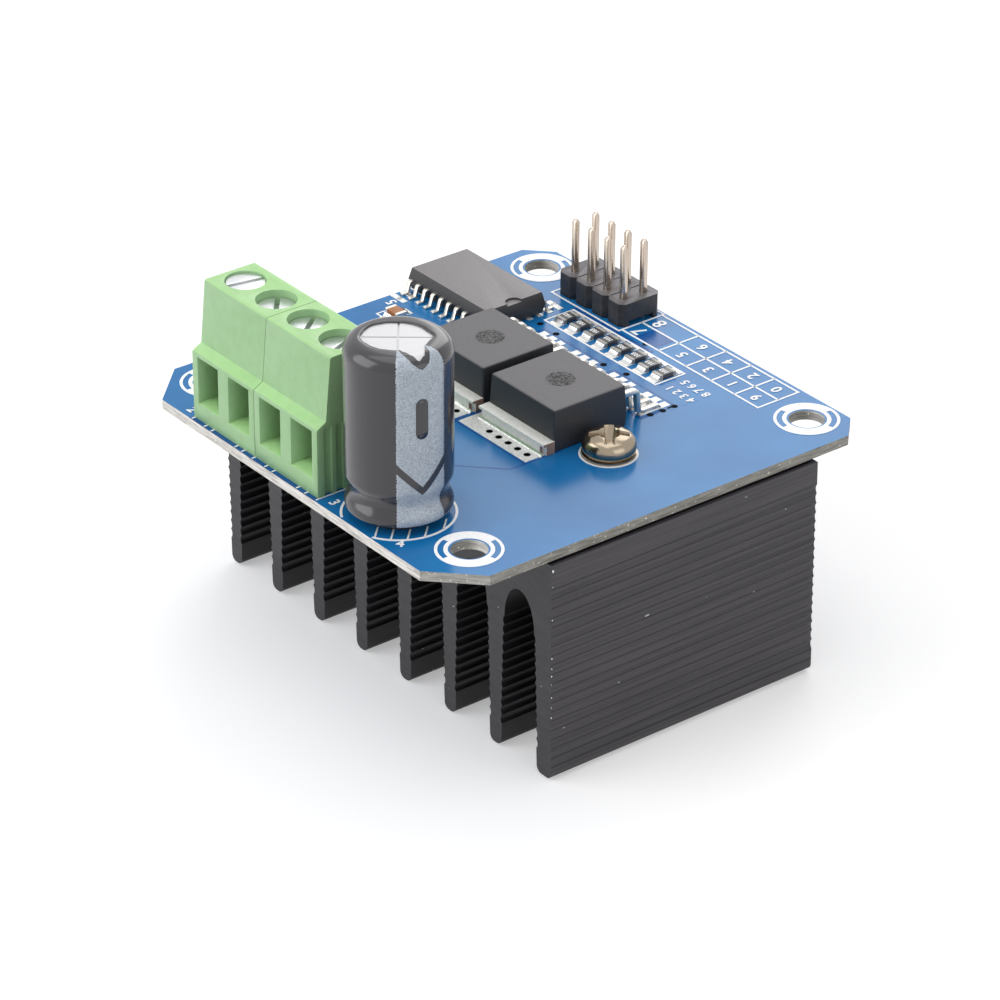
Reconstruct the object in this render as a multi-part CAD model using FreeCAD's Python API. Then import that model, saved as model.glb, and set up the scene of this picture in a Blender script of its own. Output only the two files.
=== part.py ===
import FreeCAD
import Part
import math
import os

from FreeCAD import Vector

# Twin half-bridge motor driver module: a square circuit board bolted on a finned heatsink,
# with two screw terminal blocks, a storage capacitor, a buffer chip, two power chips,
# a row of chip resistors and a pin header.
# All lengths are in millimetres. +Z is up, the terminal edge of the board faces -X.
# The origin is under the middle of the module, in the plane that the fins stand on.
# Places on the board are given from its corner at the terminal edge, nearest the capacitor.

# Circuit board
board_length = 50.0
board_width = 50.0
board_thickness = 1.0
board_center_y = -0.37
terminal_side_chamfer = 4.5
header_side_chamfer = 2.5
mount_hole_d = 3.5
mount_hole_terminal_inset = 5.9
mount_hole_header_inset = 3.46
mount_hole_flank_inset = 4.87
mount_hole_rear_inset = 4.49

# Heatsink, one extrusion along X
fin_count = 8
fin_pitch = 7.06
fin_thickness = 2.67
fin_low_taper = 0.39
fin_high_taper = 0.6
fin_tip_round = 0.7
flank_lean = 0.3
flank_overhang = 0.1
sink_height = 22.9
sink_base = 4.65
sink_arch_height = 3.6
sink_terminal_setback = 11.24
sink_header_setback = 6.66
rib_pitch = 1.0
rib_depth = 0.2
flank_rib_depth = 0.16
rib_foot = 2.5
rib_head = 2.3

# Thermal pad between board and heatsink
pad_thickness = 0.26
pad_inset = 0.4

# Pan head screws and washers that hold the board down
screw_thread_d = 3.0
screw_head_d = 5.2
screw_head_height = 2.0
screw_reach = 5.9
recess_span = 4.4
recess_arm = 1.05
recess_bowl_d = 2.5
recess_depth = 1.3
recess_clear = 0.2
recess_turn = (52.0, 20.0)
washer_d = 5.3
washer_thickness = 0.3
washer_bore_clearance = 0.1
screw_board_clearance = 0.15
screw_tap_clearance = 0.03
screw_channel_offset = 2
screw_middle_y = -0.14
rear_screw_shift_x = -4.7

# Terminal blocks, two of two poles each
block_count = 2
poles_per_block = 2
pole_pitch = 5.0
block_gap = 0.06
block_start_from_middle = -4.26
block_face_x = 0.5
block_depth = 8.7
block_height = 14.14
block_foot_height = 7.1
block_ledge_height = 7.7
block_ledge_depth = 1.05
block_top_setback = 1.65
block_top_depth = 5.9
block_back_ledge = 0.7
block_rounding = 0.25
end_wall_groove = 0.3
end_groove_width = 0.9
end_groove_start = 0.8
end_groove_spacing = 1.35
end_rib_clearance = 0.04
mouth_width = 3.35
mouth_sill = 1.75
mouth_height = 5.0
mouth_bevel = 0.3
mouth_bevel_depth = 0.9
mouth_wall = 2.2
cavity_width = 3.8
cavity_depth = 4.8
well_d = 4.0
well_depth = 5.14
well_floor = 0.5
well_floor_bore_d = 3.0
well_center_x = 5.1

# Clamp in each pole: fixed frame with its pin, pressure plate and clamp screw
clamp_clearance = 0.05
clamp_side_wall = 0.5
clamp_floor = 0.55
clamp_top = 1.0
clamp_foot = 1.15
clamp_headroom = 0.1
clamp_pin_width = 1.0
clamp_pin_thickness = 0.6
pin_hole_clearance = 0.1
terminal_pin_reach = 2.2
plate_thickness = 0.6
plate_clearance = 0.06
clamp_thread_d = 2.5
clamp_thread_pitch = 0.45
clamp_thread_clearance = 0.05
clamp_head_clearance = 0.13
clamp_head_height = 1.8
clamp_slot_width = 0.5
clamp_slot_depth = 0.75
clamp_head_sunk = 0.2
clamp_turns_down = (1.25, 1.25, 1.25, 0.0)
clamp_slot_angle = (20.0, 38.0, 51.0, -10.0)

# Storage capacitor
capacitor_x = 5.11
capacitor_to_block = 6.37
can_d = 9.9
can_top = 17.95
can_bottom = 1.0
can_shoulder = 1.35
can_foot_round = 0.35
can_neck_depth = 0.6
can_neck_height = 3.0
can_neck_half = 1.6
sleeve_thickness = 0.13
sleeve_gap = 0.02
sleeve_top_opening_d = 6.6
sleeve_foot_opening_d = 7.2
seal_d = 6.9
seal_height = 1.6
seal_clearance = 0.05
vent_score_width = 0.18
vent_score_depth = 0.12
capacitor_lead_d = 0.6
capacitor_leg_spacing = 5.0
capacitor_lead_reach = 1.6

# Buffer chip, small outline package
buffer_x_share = 0.732
buffer_from_middle = 18.5
buffer_length = 12.75
buffer_width = 7.5
buffer_height = 2.3
buffer_standoff = 0.2
buffer_legs_per_side = 10
buffer_leg_spacing = 1.27
buffer_lead_width = 0.48
buffer_lead_thickness = 0.26
buffer_lead_level = 1.25
buffer_span = 10.3
buffer_foot = 0.75
buffer_lead_knee = 0.45
buffer_lead_bend = 0.22
buffer_draft = 0.22
buffer_notch_d = 1.8
buffer_notch_depth = 0.25

# Power chips with a soldered tab
driver_x_share = 0.552
driver_from_middle = (-5.8, 5.1)
driver_length = 8.9
driver_width = 9.9
driver_height = 4.4
driver_parting = 1.35
driver_draft = 0.05
driver_leg_count = 7
driver_leg_spacing = 1.27
driver_lead_width = 0.6
driver_lead_thickness = 0.5
driver_lead_level = 2.75
driver_lead_run = 2.25
driver_foot = 2.45
driver_lead_knee = 0.9
driver_lead_bend = 0.5
driver_stub = 0.9
driver_dimple_d = 3.2
driver_dimple_depth = 0.06
tab_thickness = 1.3
tab_reach = 1.25
tab_width = 10.0
tab_notch_width = 0.6
tab_notch_depth = 0.35
tab_lip = 0.3
tab_flush = 0.1
tab_in_body = 2.5
tab_root_inset = 0.5

# How far the leads reach into a moulded body
lead_anchor = 0.4

# Chip resistors in a row
resistor_count = 8
resistor_x_share = 0.828
resistor_first_from_middle = -5.02
resistor_pitch = 2.13
resistor_length = 2.0
resistor_width = 1.25
resistor_height = 0.5
resistor_cap = 0.38
cap_wrap = 0.03

# Small ceramic capacitor beside the buffer chip
bypass_x_share = 0.568
bypass_from_middle = 21.0
bypass_length = 2.0
bypass_width = 1.25
bypass_height = 0.7

# Pin header
header_columns = 2
header_rows = 4
header_pitch = 2.54
header_edge_inset = 4.36
header_from_middle = 6.42
header_height = 2.5
header_corner = 0.5
header_groove = 0.12
header_foot_notch = 0.55
header_foot_inset = 0.5
header_pin_width = 0.6
header_pin_top = 8.3
header_pin_tip = 0.35
header_pin_reach = 2.0

# Plated holes: a row beside each tab, a row near the flank and single ones by the resistors
via_d = 0.7
tab_via_count = 5
tab_via_spacing = 1.44
tab_via_gap = 0.9
tab_via_shift = -0.75
flank_via_count = 3
flank_via_spacing = 1.48
flank_via_x = 37.75
flank_via_from_middle = -10.53
near_via_x = 41.21
near_via_from_middle = -2.67
middle_via_x = 40.72
middle_via_from_middle = 0.28
far_via_x = 41.11
far_via_from_middle = 8.32
last_via_x = 41.17
last_via_from_middle = 11.0
header_via_x = 44.24
header_via_from_middle = 1.18

# Solder cones under the board
solder_collar = 0.42
solder_height = 0.9

# Levels
sink_top = sink_height
board_bottom = sink_top + pad_thickness
board_top = board_bottom + board_thickness

# The board's reference corner and the heatsink's place under it
corner_x = -board_length / 2
corner_y = board_center_y - board_width / 2
sink_length = board_length - sink_terminal_setback - sink_header_setback
sink_center_x = corner_x + sink_terminal_setback + sink_length / 2
sink_width = (fin_count - 1) * fin_pitch + fin_thickness + flank_overhang
sink_left = flank_overhang - sink_width / 2

# Places on the board, from its corner
board_middle = board_width / 2
block_start_y = board_middle + block_start_from_middle
capacitor_y = block_start_y - capacitor_to_block
buffer_x = board_length * buffer_x_share
buffer_y = board_middle + buffer_from_middle
driver_x = board_length * driver_x_share
driver_y = [board_middle + offset for offset in driver_from_middle]
resistor_x = board_length * resistor_x_share
resistor_first_y = board_middle + resistor_first_from_middle
bypass_x = board_length * bypass_x_share
bypass_y = board_middle + bypass_from_middle
header_x = board_length - header_edge_inset
header_y = board_middle + header_from_middle

# Cavity of each terminal pole, under the floor of its screw well
cavity_height = block_height - well_depth - well_floor


def on_board(x, y, height=0.0):
    """Return the point at x, y from the board's corner and at a height over its top."""
    return Vector(corner_x + x, corner_y + y, board_top + height)


def block(center, size_x, size_y, height):
    """Return a box centred on a point in X and Y that rises from it."""
    low = center - Vector(size_x / 2, size_y / 2, 0)
    return Part.makeBox(size_x, size_y, height, low)


def post(base, diameter, height):
    """Return an upright cylinder on a point."""
    return Part.makeCylinder(diameter / 2, height, base)


def prism(points, direction):
    """Extrude the closed polygon through the points."""
    outline = Part.makePolygon(points + [points[0]])
    return Part.Face(outline).extrude(direction)


def rectangle(center, size_x, size_y):
    """Return a closed rectangular wire in a level plane."""
    half_x = size_x / 2
    half_y = size_y / 2
    corners = []
    for side_x, side_y in ((-1, -1), (1, -1), (1, 1), (-1, 1)):
        corners.append(center + Vector(side_x * half_x, side_y * half_y, 0))
    return Part.makePolygon(corners + [corners[0]])


def drafted_body(center, length, width, parting, height, draft):
    """Return a moulded body that is widest at its parting line."""
    levels = (0.0, parting, height)
    wires = []
    for level in levels:
        shrink = 2 * draft * abs(level - parting)
        base = center + Vector(0, 0, level)
        wires.append(rectangle(base, length - shrink, width - shrink))
    return Part.makeLoft(wires, True, True)


def bent_strip(points, bend, width, thickness):
    """Sweep a strip of constant section along a path in the XZ plane with rounded bends."""
    edges = []
    start = points[0]
    for index in range(1, len(points) - 1):
        corner = points[index]
        incoming = (corner - points[index - 1]).normalize()
        outgoing = (points[index + 1] - corner).normalize()
        half_turn = incoming.getAngle(outgoing) / 2
        cut = bend * math.tan(half_turn)
        arc_start = corner - incoming * cut
        arc_end = corner + outgoing * cut
        inward = (outgoing - incoming).normalize()
        arc_middle = corner + inward * (bend / math.cos(half_turn) - bend)
        edges.append(Part.LineSegment(start, arc_start).toShape())
        edges.append(Part.Arc(arc_start, arc_middle, arc_end).toShape())
        start = arc_end
    edges.append(Part.LineSegment(start, points[-1]).toShape())
    path = Part.Wire(edges)
    along = (points[1] - points[0]).normalize()
    side = Vector(0, 1, 0)
    up = along.cross(side)
    corners = []
    for side_y, side_up in ((-1, -1), (1, -1), (1, 1), (-1, 1)):
        offset = side * (side_y * width / 2) + up * (side_up * thickness / 2)
        corners.append(points[0] + offset)
    section = Part.Face(Part.makePolygon(corners + [corners[0]]))
    return path.makePipe(section)


def mount_hole_centers():
    """Return the four corner hole centres at the board's underside."""
    centers = []
    for x in (mount_hole_terminal_inset, board_length - mount_hole_header_inset):
        for y in (mount_hole_flank_inset, board_width - mount_hole_rear_inset):
            centers.append(on_board(x, y, -board_thickness))
    return centers


def sink_screw_centers():
    """Return the two screw centres at the board's top; both stand over a fin channel."""
    reach_y = screw_channel_offset * fin_pitch
    front = Vector(sink_center_x, screw_middle_y - reach_y, board_top)
    rear = Vector(sink_center_x + rear_screw_shift_x, screw_middle_y + reach_y, board_top)
    return [front, rear]


def pole_centers():
    """Return the pole centres at the board's top, from the capacitor's side."""
    centers = []
    block_width = poles_per_block * pole_pitch
    for number in range(block_count):
        start = block_start_y + number * (block_width + block_gap)
        for pole in range(poles_per_block):
            centers.append(on_board(well_center_x, start + (pole + 0.5) * pole_pitch))
    return centers


def capacitor_lead_centers():
    """Return the two lead centres at the board's top."""
    half = capacitor_leg_spacing / 2
    return [on_board(capacitor_x, capacitor_y + side * half) for side in (-1, 1)]


def header_pin_centers():
    """Return the pin centres at the board's top."""
    centers = []
    for column in range(header_columns):
        for row in range(header_rows):
            x = header_x + column * header_pitch
            y = header_y + row * header_pitch
            centers.append(on_board(x, y))
    return centers


def via_centers():
    """Return the plated holes' centres at the board's underside."""
    centers = []
    row_x = driver_x - driver_length / 2 - tab_reach - tab_via_gap
    first = (1 - tab_via_count) / 2 * tab_via_spacing + tab_via_shift
    for middle in driver_y:
        for step in range(tab_via_count):
            centers.append((row_x, middle + first + step * tab_via_spacing))
    for step in range(flank_via_count):
        x = flank_via_x + step * flank_via_spacing
        centers.append((x, board_middle + flank_via_from_middle))
    centers.append((near_via_x, board_middle + near_via_from_middle))
    centers.append((middle_via_x, board_middle + middle_via_from_middle))
    centers.append((far_via_x, board_middle + far_via_from_middle))
    centers.append((last_via_x, board_middle + last_via_from_middle))
    centers.append((header_via_x, board_middle + header_via_from_middle))
    return [on_board(x, y, -board_thickness) for x, y in centers]


def make_circuit_board():
    """Board outline with unequal corner chamfers, and every drilled hole."""
    end_x = corner_x + board_length
    end_y = corner_y + board_width
    near = terminal_side_chamfer
    far = header_side_chamfer
    outline = [
        Vector(corner_x + near, corner_y, board_bottom),
        Vector(end_x - far, corner_y, board_bottom),
        Vector(end_x, corner_y + far, board_bottom),
        Vector(end_x, end_y - far, board_bottom),
        Vector(end_x - far, end_y, board_bottom),
        Vector(corner_x + near, end_y, board_bottom),
        Vector(corner_x, end_y - near, board_bottom),
        Vector(corner_x, corner_y + near, board_bottom),
    ]
    board = prism(outline, Vector(0, 0, board_thickness))
    drills = []
    down = Vector(0, 0, -board_thickness)
    for center in mount_hole_centers():
        drills.append(post(center, mount_hole_d, board_thickness))
    for center in sink_screw_centers():
        drill_d = screw_thread_d + 2 * screw_board_clearance
        drills.append(post(center + down, drill_d, board_thickness))
    pin_diagonal = math.hypot(clamp_pin_width, clamp_pin_thickness)
    for center in pole_centers():
        drill_d = pin_diagonal + 2 * pin_hole_clearance
        drills.append(post(center + down, drill_d, board_thickness))
    for center in capacitor_lead_centers():
        drill_d = capacitor_lead_d + 2 * pin_hole_clearance
        drills.append(post(center + down, drill_d, board_thickness))
    for center in header_pin_centers():
        drill_d = header_pin_width * math.sqrt(2) + 2 * pin_hole_clearance
        drills.append(post(center + down, drill_d, board_thickness))
    for center in via_centers():
        drills.append(post(center, via_d, board_thickness))
    return board.cut(drills)


def ribbed_side(y_head, y_foot, z_head, z_rib_head, outward, depth):
    """Return the edges of one fin side and its foot; its grooves are round, its ribs sharp."""
    count = int((z_rib_head - rib_foot) / rib_pitch + 0.001)
    z_first = rib_foot + count * rib_pitch

    def point(z, inward=0.0):
        share = (z_head - z) / z_head
        return Vector(0, y_head + (y_foot - y_head) * share - outward * inward, z)

    edges = [Part.LineSegment(point(z_head), point(z_first)).toShape()]
    for index in range(count):
        z_high = z_first - index * rib_pitch
        z_low = z_high - rib_pitch
        groove = point((z_high + z_low) / 2, depth)
        edges.append(Part.Arc(point(z_high), groove, point(z_low)).toShape())
    foot = point(fin_tip_round)
    edges.append(Part.LineSegment(point(rib_foot), foot).toShape())
    return edges, foot


def fin_tip(low_side, high_side):
    """Return the edges round a fin's tip, between its two sides."""
    near = fin_tip_round * (1 - math.sqrt(0.5))
    low_end = Vector(0, low_side.y + fin_tip_round, 0)
    high_end = Vector(0, high_side.y - fin_tip_round, 0)
    low_middle = Vector(0, low_side.y + near, near)
    high_middle = Vector(0, high_side.y - near, near)
    return [
        Part.Arc(low_side, low_middle, low_end).toShape(),
        Part.LineSegment(low_end, high_end).toShape(),
        Part.Arc(high_end, high_middle, high_side).toShape(),
    ]


def channel_arch(y_low, y_high, spring, crown):
    """Return the half ellipse that closes a channel under the base plate."""
    middle = Vector(0, (y_low + y_high) / 2, spring)
    ellipse = Part.Ellipse(Vector(0, middle.y, crown), Vector(0, y_high, spring), middle)
    return Part.ArcOfEllipse(ellipse, -math.pi / 2, math.pi / 2).toShape()


def make_heatsink():
    """Extruded profile: base plate, arched channels and ribbed fins with rounded tips."""
    crown = sink_height - sink_base
    spring = crown - sink_arch_height
    edges = []
    for index in range(fin_count):
        y_low = sink_left + index * fin_pitch
        y_high = y_low + fin_thickness
        if index == 0:
            flank_head = y_low - flank_overhang + flank_lean
            levels = (sink_height, sink_height - rib_head, -1, flank_rib_depth)
            low_side, low_foot = ribbed_side(flank_head, flank_head - flank_lean, *levels)
            head = Vector(0, flank_head, sink_height)
        else:
            levels = (spring, spring, -1, rib_depth)
            low_side, low_foot = ribbed_side(y_low, y_low + fin_low_taper, *levels)
        levels = (spring, spring, 1, rib_depth)
        if index == fin_count - 1:
            levels = (sink_height, sink_height - rib_head, 1, rib_depth)
            tail = Vector(0, y_high, sink_height)
        high_side, high_foot = ribbed_side(y_high, y_high - fin_high_taper, *levels)
        edges += low_side
        edges += fin_tip(low_foot, high_foot)
        edges += high_side
        if index < fin_count - 1:
            edges.append(channel_arch(y_high, y_low + fin_pitch, spring, crown))
    edges.append(Part.LineSegment(tail, head).toShape())
    profile = Part.Face(Part.Wire(Part.__sortEdges__(edges)))
    profile.translate(Vector(sink_center_x - sink_length / 2, 0, 0))
    sink = profile.extrude(Vector(sink_length, 0, 0))
    taps = []
    tap_d = screw_thread_d + 2 * screw_tap_clearance
    for center in sink_screw_centers():
        foot = Vector(center.x, center.y, crown - sink_arch_height)
        taps.append(post(foot, tap_d, sink_height - foot.z))
    return sink.cut(taps)


def make_thermal_pad():
    """Soft sheet clamped between the board and the heatsink."""
    center = Vector(sink_center_x, board_center_y, sink_top)
    pad = block(center, sink_length - 2 * pad_inset, board_width - 2 * pad_inset, pad_thickness)
    holes = []
    for screw in sink_screw_centers():
        hole_d = screw_thread_d + 2 * screw_board_clearance
        holes.append(post(Vector(screw.x, screw.y, sink_top), hole_d, pad_thickness))
    return pad.cut(holes)


def cross_recess(top, depth):
    """Return the tapered cross and central bowl of a driver recess under a point."""
    foot = top - Vector(0, 0, depth)
    arms = []
    for size_x, size_y in ((recess_span, recess_arm), (recess_arm, recess_span)):
        wide = rectangle(top, size_x, size_y)
        narrow = rectangle(foot, size_x * 0.4, size_y * 0.6)
        arms.append(Part.makeLoft([narrow, wide], True, True))
    bowl = Part.makeCone(recess_bowl_d * 0.2, recess_bowl_d / 2, depth, foot)
    return arms[0].fuse([arms[1], bowl])


def make_sink_screw(center, turn):
    """Pan head machine screw with a cross recess, left at the turn that its driver gave it."""
    seat = center + Vector(0, 0, washer_thickness)
    radius = screw_head_d / 2
    crown = screw_head_height * 0.45
    edges = [
        Part.LineSegment(Vector(0, 0, 0), Vector(radius * 0.94, 0, 0)).toShape(),
        Part.Arc(
            Vector(radius * 0.94, 0, 0),
            Vector(radius, 0, crown),
            Vector(radius * 0.72, 0, screw_head_height * 0.88),
        ).toShape(),
        Part.Arc(
            Vector(radius * 0.72, 0, screw_head_height * 0.88),
            Vector(radius * 0.38, 0, screw_head_height * 0.97),
            Vector(0, 0, screw_head_height),
        ).toShape(),
        Part.LineSegment(Vector(0, 0, screw_head_height), Vector(0, 0, 0)).toShape(),
    ]
    head = Part.Face(Part.Wire(edges)).revolve(Vector(0, 0, 0), Vector(0, 0, 1), 360)
    recess_top = Vector(0, 0, screw_head_height + recess_clear)
    recess = cross_recess(recess_top, recess_depth + recess_clear)
    recess.rotate(Vector(0, 0, 0), Vector(0, 0, 1), turn)
    head = head.cut(recess)
    shank = post(Vector(0, 0, -screw_reach), screw_thread_d, screw_reach + 0.3)
    screw = head.fuse(shank).removeSplitter()
    screw.translate(seat)
    return screw


def make_washer(center):
    """Flat washer under a screw head."""
    disc = post(center, washer_d, washer_thickness)
    bore_d = screw_thread_d + 2 * washer_bore_clearance
    return disc.cut(post(center, bore_d, washer_thickness))


def block_profile(y):
    """Return the block's side outline, in the plane at y."""
    face = block_face_x
    back = face + block_depth
    top_front = face + block_top_setback
    corners = (
        (face, 0.0),
        (face, block_foot_height),
        (face + block_ledge_depth, block_ledge_height),
        (top_front, block_height),
        (top_front + block_top_depth, block_height),
        (back - block_back_ledge, block_ledge_height),
        (back, block_foot_height),
        (back, 0.0),
    )
    return [on_board(x, y, height) for x, height in corners]


def end_groove_spots():
    """Return where the interlocking grooves start, from the block's face."""
    first = block_face_x + end_groove_start
    return [first, first + end_groove_spacing]


def mouth_opening(pole):
    """Return a wire mouth that narrows inwards from the block's face to the cavity."""
    rings = []
    for depth, inset in ((0.0, 0.0), (mouth_bevel_depth, mouth_bevel), (mouth_wall, mouth_bevel)):
        x = corner_x + block_face_x + depth
        half = mouth_width / 2 - inset
        low_z = board_top + mouth_sill + inset
        high_z = board_top + mouth_sill + mouth_height - inset
        corners = []
        for side, z in ((-1, low_z), (1, low_z), (1, high_z), (-1, high_z)):
            corners.append(Vector(x, pole.y + side * half, z))
        rings.append(Part.makePolygon(corners + [corners[0]]))
    return Part.makeLoft(rings, True, True)


def make_terminal_housing(number):
    """Stepped housing with wire mouths, clamp cavities, screw wells and end grooves."""
    width = poles_per_block * pole_pitch
    start = block_start_y + number * (width + block_gap)
    housing = prism(block_profile(start), Vector(0, width, 0))
    outer = []
    face_edge = corner_x + block_face_x
    for edge in housing.Edges:
        box = edge.BoundBox
        long_in_y = box.YLength > width / 2
        at_top = box.ZMin > board_top + block_height - 0.01
        at_nose = box.XMax < face_edge + 0.01 and box.ZMin > board_top + 1
        if long_in_y and (at_top or at_nose):
            outer.append(edge)
    housing = housing.makeFillet(block_rounding, outer)
    poles = pole_centers()[number * poles_per_block:(number + 1) * poles_per_block]
    cuts = []
    for pole in poles:
        mouth = mouth_opening(pole)
        cavity = Part.makeBox(
            cavity_depth,
            cavity_width,
            cavity_height,
            Vector(corner_x + block_face_x + mouth_wall, pole.y - cavity_width / 2, board_top),
        )
        bore = post(pole, well_floor_bore_d, block_height)
        floor = pole + Vector(0, 0, cavity_height + well_floor)
        well = post(floor, well_d, block_height)
        cuts += [mouth, cavity, bore, well]
    for spot in end_groove_spots():
        cuts.append(Part.makeBox(
            end_groove_width,
            end_wall_groove,
            block_foot_height,
            on_board(spot, start),
        ))
    housing = housing.cut(cuts)
    ribs = []
    for spot in end_groove_spots():
        ribs.append(Part.makeBox(
            end_groove_width - 2 * end_rib_clearance,
            block_gap + end_wall_groove - end_rib_clearance,
            block_foot_height - 0.2,
            on_board(spot + end_rib_clearance, start + width),
        ))
    return housing.fuse(ribs).removeSplitter()


def clamp_span():
    """Return the clamp frame's low and high X from the board's corner."""
    low = block_face_x + mouth_wall + clamp_clearance
    return low, low + cavity_depth - 2 * clamp_clearance


def make_clamp_frame(pole):
    """Fixed rectangular frame with a tapped top and a pin down through the board."""
    low_x, high_x = clamp_span()
    width = cavity_width - 2 * clamp_clearance
    top = cavity_height - clamp_headroom
    frame = Part.makeBox(
        high_x - low_x,
        width,
        top - clamp_foot,
        Vector(corner_x + low_x, pole.y - width / 2, board_top + clamp_foot),
    )
    inner_width = width - 2 * clamp_side_wall
    inner_height = top - clamp_top - clamp_foot - clamp_floor
    window = Part.makeBox(
        high_x - low_x,
        inner_width,
        inner_height,
        Vector(
            corner_x + low_x,
            pole.y - inner_width / 2,
            board_top + clamp_foot + clamp_floor,
        ),
    )
    tap_d = clamp_thread_d + 2 * clamp_thread_clearance
    tap = post(pole + Vector(0, 0, top - clamp_top), tap_d, clamp_top)
    pin_foot = Vector(pole.x, pole.y, board_bottom - terminal_pin_reach)
    pin_height = board_top + clamp_foot - pin_foot.z
    pin = block(pin_foot, clamp_pin_thickness, clamp_pin_width, pin_height)
    return frame.cut([window, tap]).fuse(pin).removeSplitter()


def clamp_drop(index):
    """Return how far the screw of a pole is turned down from its open position."""
    return clamp_turns_down[index] * clamp_thread_pitch


def plate_top(index):
    """Return the height of a pressure plate's top over the board."""
    open_level = cavity_height - clamp_headroom - clamp_top - plate_clearance
    return open_level - clamp_drop(index)


def make_pressure_plate(pole, index):
    """Plate that the clamp screw pushes down on the wire."""
    low_x, high_x = clamp_span()
    width = cavity_width - 2 * (clamp_clearance + clamp_side_wall + plate_clearance)
    inset = clamp_side_wall
    corner = Vector(
        corner_x + low_x + inset,
        pole.y - width / 2,
        board_top + plate_top(index) - plate_thickness,
    )
    return Part.makeBox(high_x - low_x - 2 * inset, width, plate_thickness, corner)


def make_clamp_screw(pole, index):
    """Cheese head screw with a straight slot."""
    head_top = block_height - clamp_head_sunk - clamp_drop(index)
    head_d = well_d - 2 * clamp_head_clearance
    head = post(pole + Vector(0, 0, head_top - clamp_head_height), head_d, clamp_head_height)
    slot_seat = pole + Vector(0, 0, head_top - clamp_slot_depth)
    slot = block(slot_seat, well_d, clamp_slot_width, clamp_slot_depth)
    slot.rotate(pole, Vector(0, 0, 1), clamp_slot_angle[index])
    tip = plate_top(index)
    shank = post(pole + Vector(0, 0, tip), clamp_thread_d, head_top - clamp_head_height - tip)
    return head.cut(slot).fuse(shank).removeSplitter()


def neck_curve(radius):
    """Return the crimped neck's outline, which runs smoothly into the wall at both ends."""
    points = []
    for step in range(-6, 7):
        share = step / 6
        depth = can_neck_depth * math.cos(share * math.pi / 2) ** 3
        points.append(Vector(radius - depth, 0, can_neck_height + share * can_neck_half))
    curve = Part.BSplineCurve()
    up = Vector(0, 0, 1)
    curve.interpolate(Points=points, InitialTangent=up, FinalTangent=up)
    return curve.toShape()


def can_solid(grow):
    """Return the can's revolved body, grown all over by a thickness."""
    radius = can_d / 2 + grow
    top = can_top + grow
    bottom = can_bottom - grow
    shoulder = can_shoulder + grow
    foot = can_foot_round + grow
    near = 1 - math.sqrt(0.5)
    points = {
        "axis_low": Vector(0, 0, bottom),
        "foot_in": Vector(radius - foot, 0, bottom),
        "foot_mid": Vector(radius - foot * near, 0, bottom + foot * near),
        "foot_out": Vector(radius, 0, bottom + foot),
        "neck_low": Vector(radius, 0, can_neck_height - can_neck_half),
        "neck_high": Vector(radius, 0, can_neck_height + can_neck_half),
        "shoulder_out": Vector(radius, 0, top - shoulder),
        "shoulder_mid": Vector(radius - shoulder * near, 0, top - shoulder * near),
        "shoulder_in": Vector(radius - shoulder, 0, top),
        "axis_high": Vector(0, 0, top),
    }

    def line(start, end):
        return Part.LineSegment(points[start], points[end]).toShape()

    def arc(start, middle, end):
        return Part.Arc(points[start], points[middle], points[end]).toShape()

    edges = [
        line("axis_low", "foot_in"),
        arc("foot_in", "foot_mid", "foot_out"),
        neck_curve(radius),
        line("neck_high", "shoulder_out"),
        arc("shoulder_out", "shoulder_mid", "shoulder_in"),
        line("shoulder_in", "axis_high"),
        line("axis_high", "axis_low"),
    ]
    if points["foot_out"].distanceToPoint(points["neck_low"]) > 0.001:
        edges.insert(2, line("foot_out", "neck_low"))
    outline = Part.Wire(Part.__sortEdges__(edges))
    return Part.Face(outline).revolve(Vector(0, 0, 0), Vector(0, 0, 1), 360)


def make_capacitor_can():
    """Aluminium can with its crimped neck, scored vent and a seat for the seal."""
    can = can_solid(0.0)
    seat_d = seal_d + 2 * seal_clearance
    can = can.cut(post(Vector(0, 0, can_bottom), seat_d, seal_height))
    score_length = sleeve_top_opening_d
    for angle in (-38.0, 52.0):
        score = block(
            Vector(0, 0, can_top - vent_score_depth),
            score_length,
            vent_score_width,
            vent_score_depth,
        )
        score.rotate(Vector(0, 0, 0), Vector(0, 0, 1), angle)
        can = can.cut(score)
    can.translate(on_board(capacitor_x, capacitor_y))
    return can


def make_capacitor_sleeve():
    """Shrunk plastic sleeve that follows the can and curls over both its ends."""
    outer = can_solid(sleeve_gap + sleeve_thickness)
    inner = can_solid(sleeve_gap)
    sleeve = outer.cut(inner)
    top_hole = post(Vector(0, 0, can_top - 1), sleeve_top_opening_d, 2)
    foot_hole = post(Vector(0, 0, can_bottom - 1), sleeve_foot_opening_d, 2)
    sleeve = sleeve.cut([top_hole, foot_hole])
    sleeve.translate(on_board(capacitor_x, capacitor_y))
    return sleeve


def make_capacitor_seal():
    """Rubber seal in the can's open end, which stands on the board."""
    height = can_bottom + seal_height - seal_clearance
    seal = post(on_board(capacitor_x, capacitor_y), seal_d, height)
    for center in capacitor_lead_centers():
        seal = seal.cut(post(center, capacitor_lead_d, height))
    return seal


def make_capacitor_lead(center):
    """Round lead from the seal down through the board."""
    foot = Vector(center.x, center.y, board_bottom - capacitor_lead_reach)
    height = board_top + can_bottom + seal_height - seal_clearance - foot.z
    return post(foot, capacitor_lead_d, height)


def gull_wing(level, face_x, run, knee, foot, bend, width, thickness):
    """Return a gull wing lead that leaves a body's face towards +X and stands on Z 0."""
    foot_level = thickness / 2
    ankle_x = face_x + run
    points = [
        Vector(face_x - lead_anchor, 0, level),
        Vector(face_x + run * knee, 0, level),
        Vector(ankle_x, 0, foot_level),
        Vector(ankle_x + foot, 0, foot_level),
    ]
    return bent_strip(points, bend, width, thickness)


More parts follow.
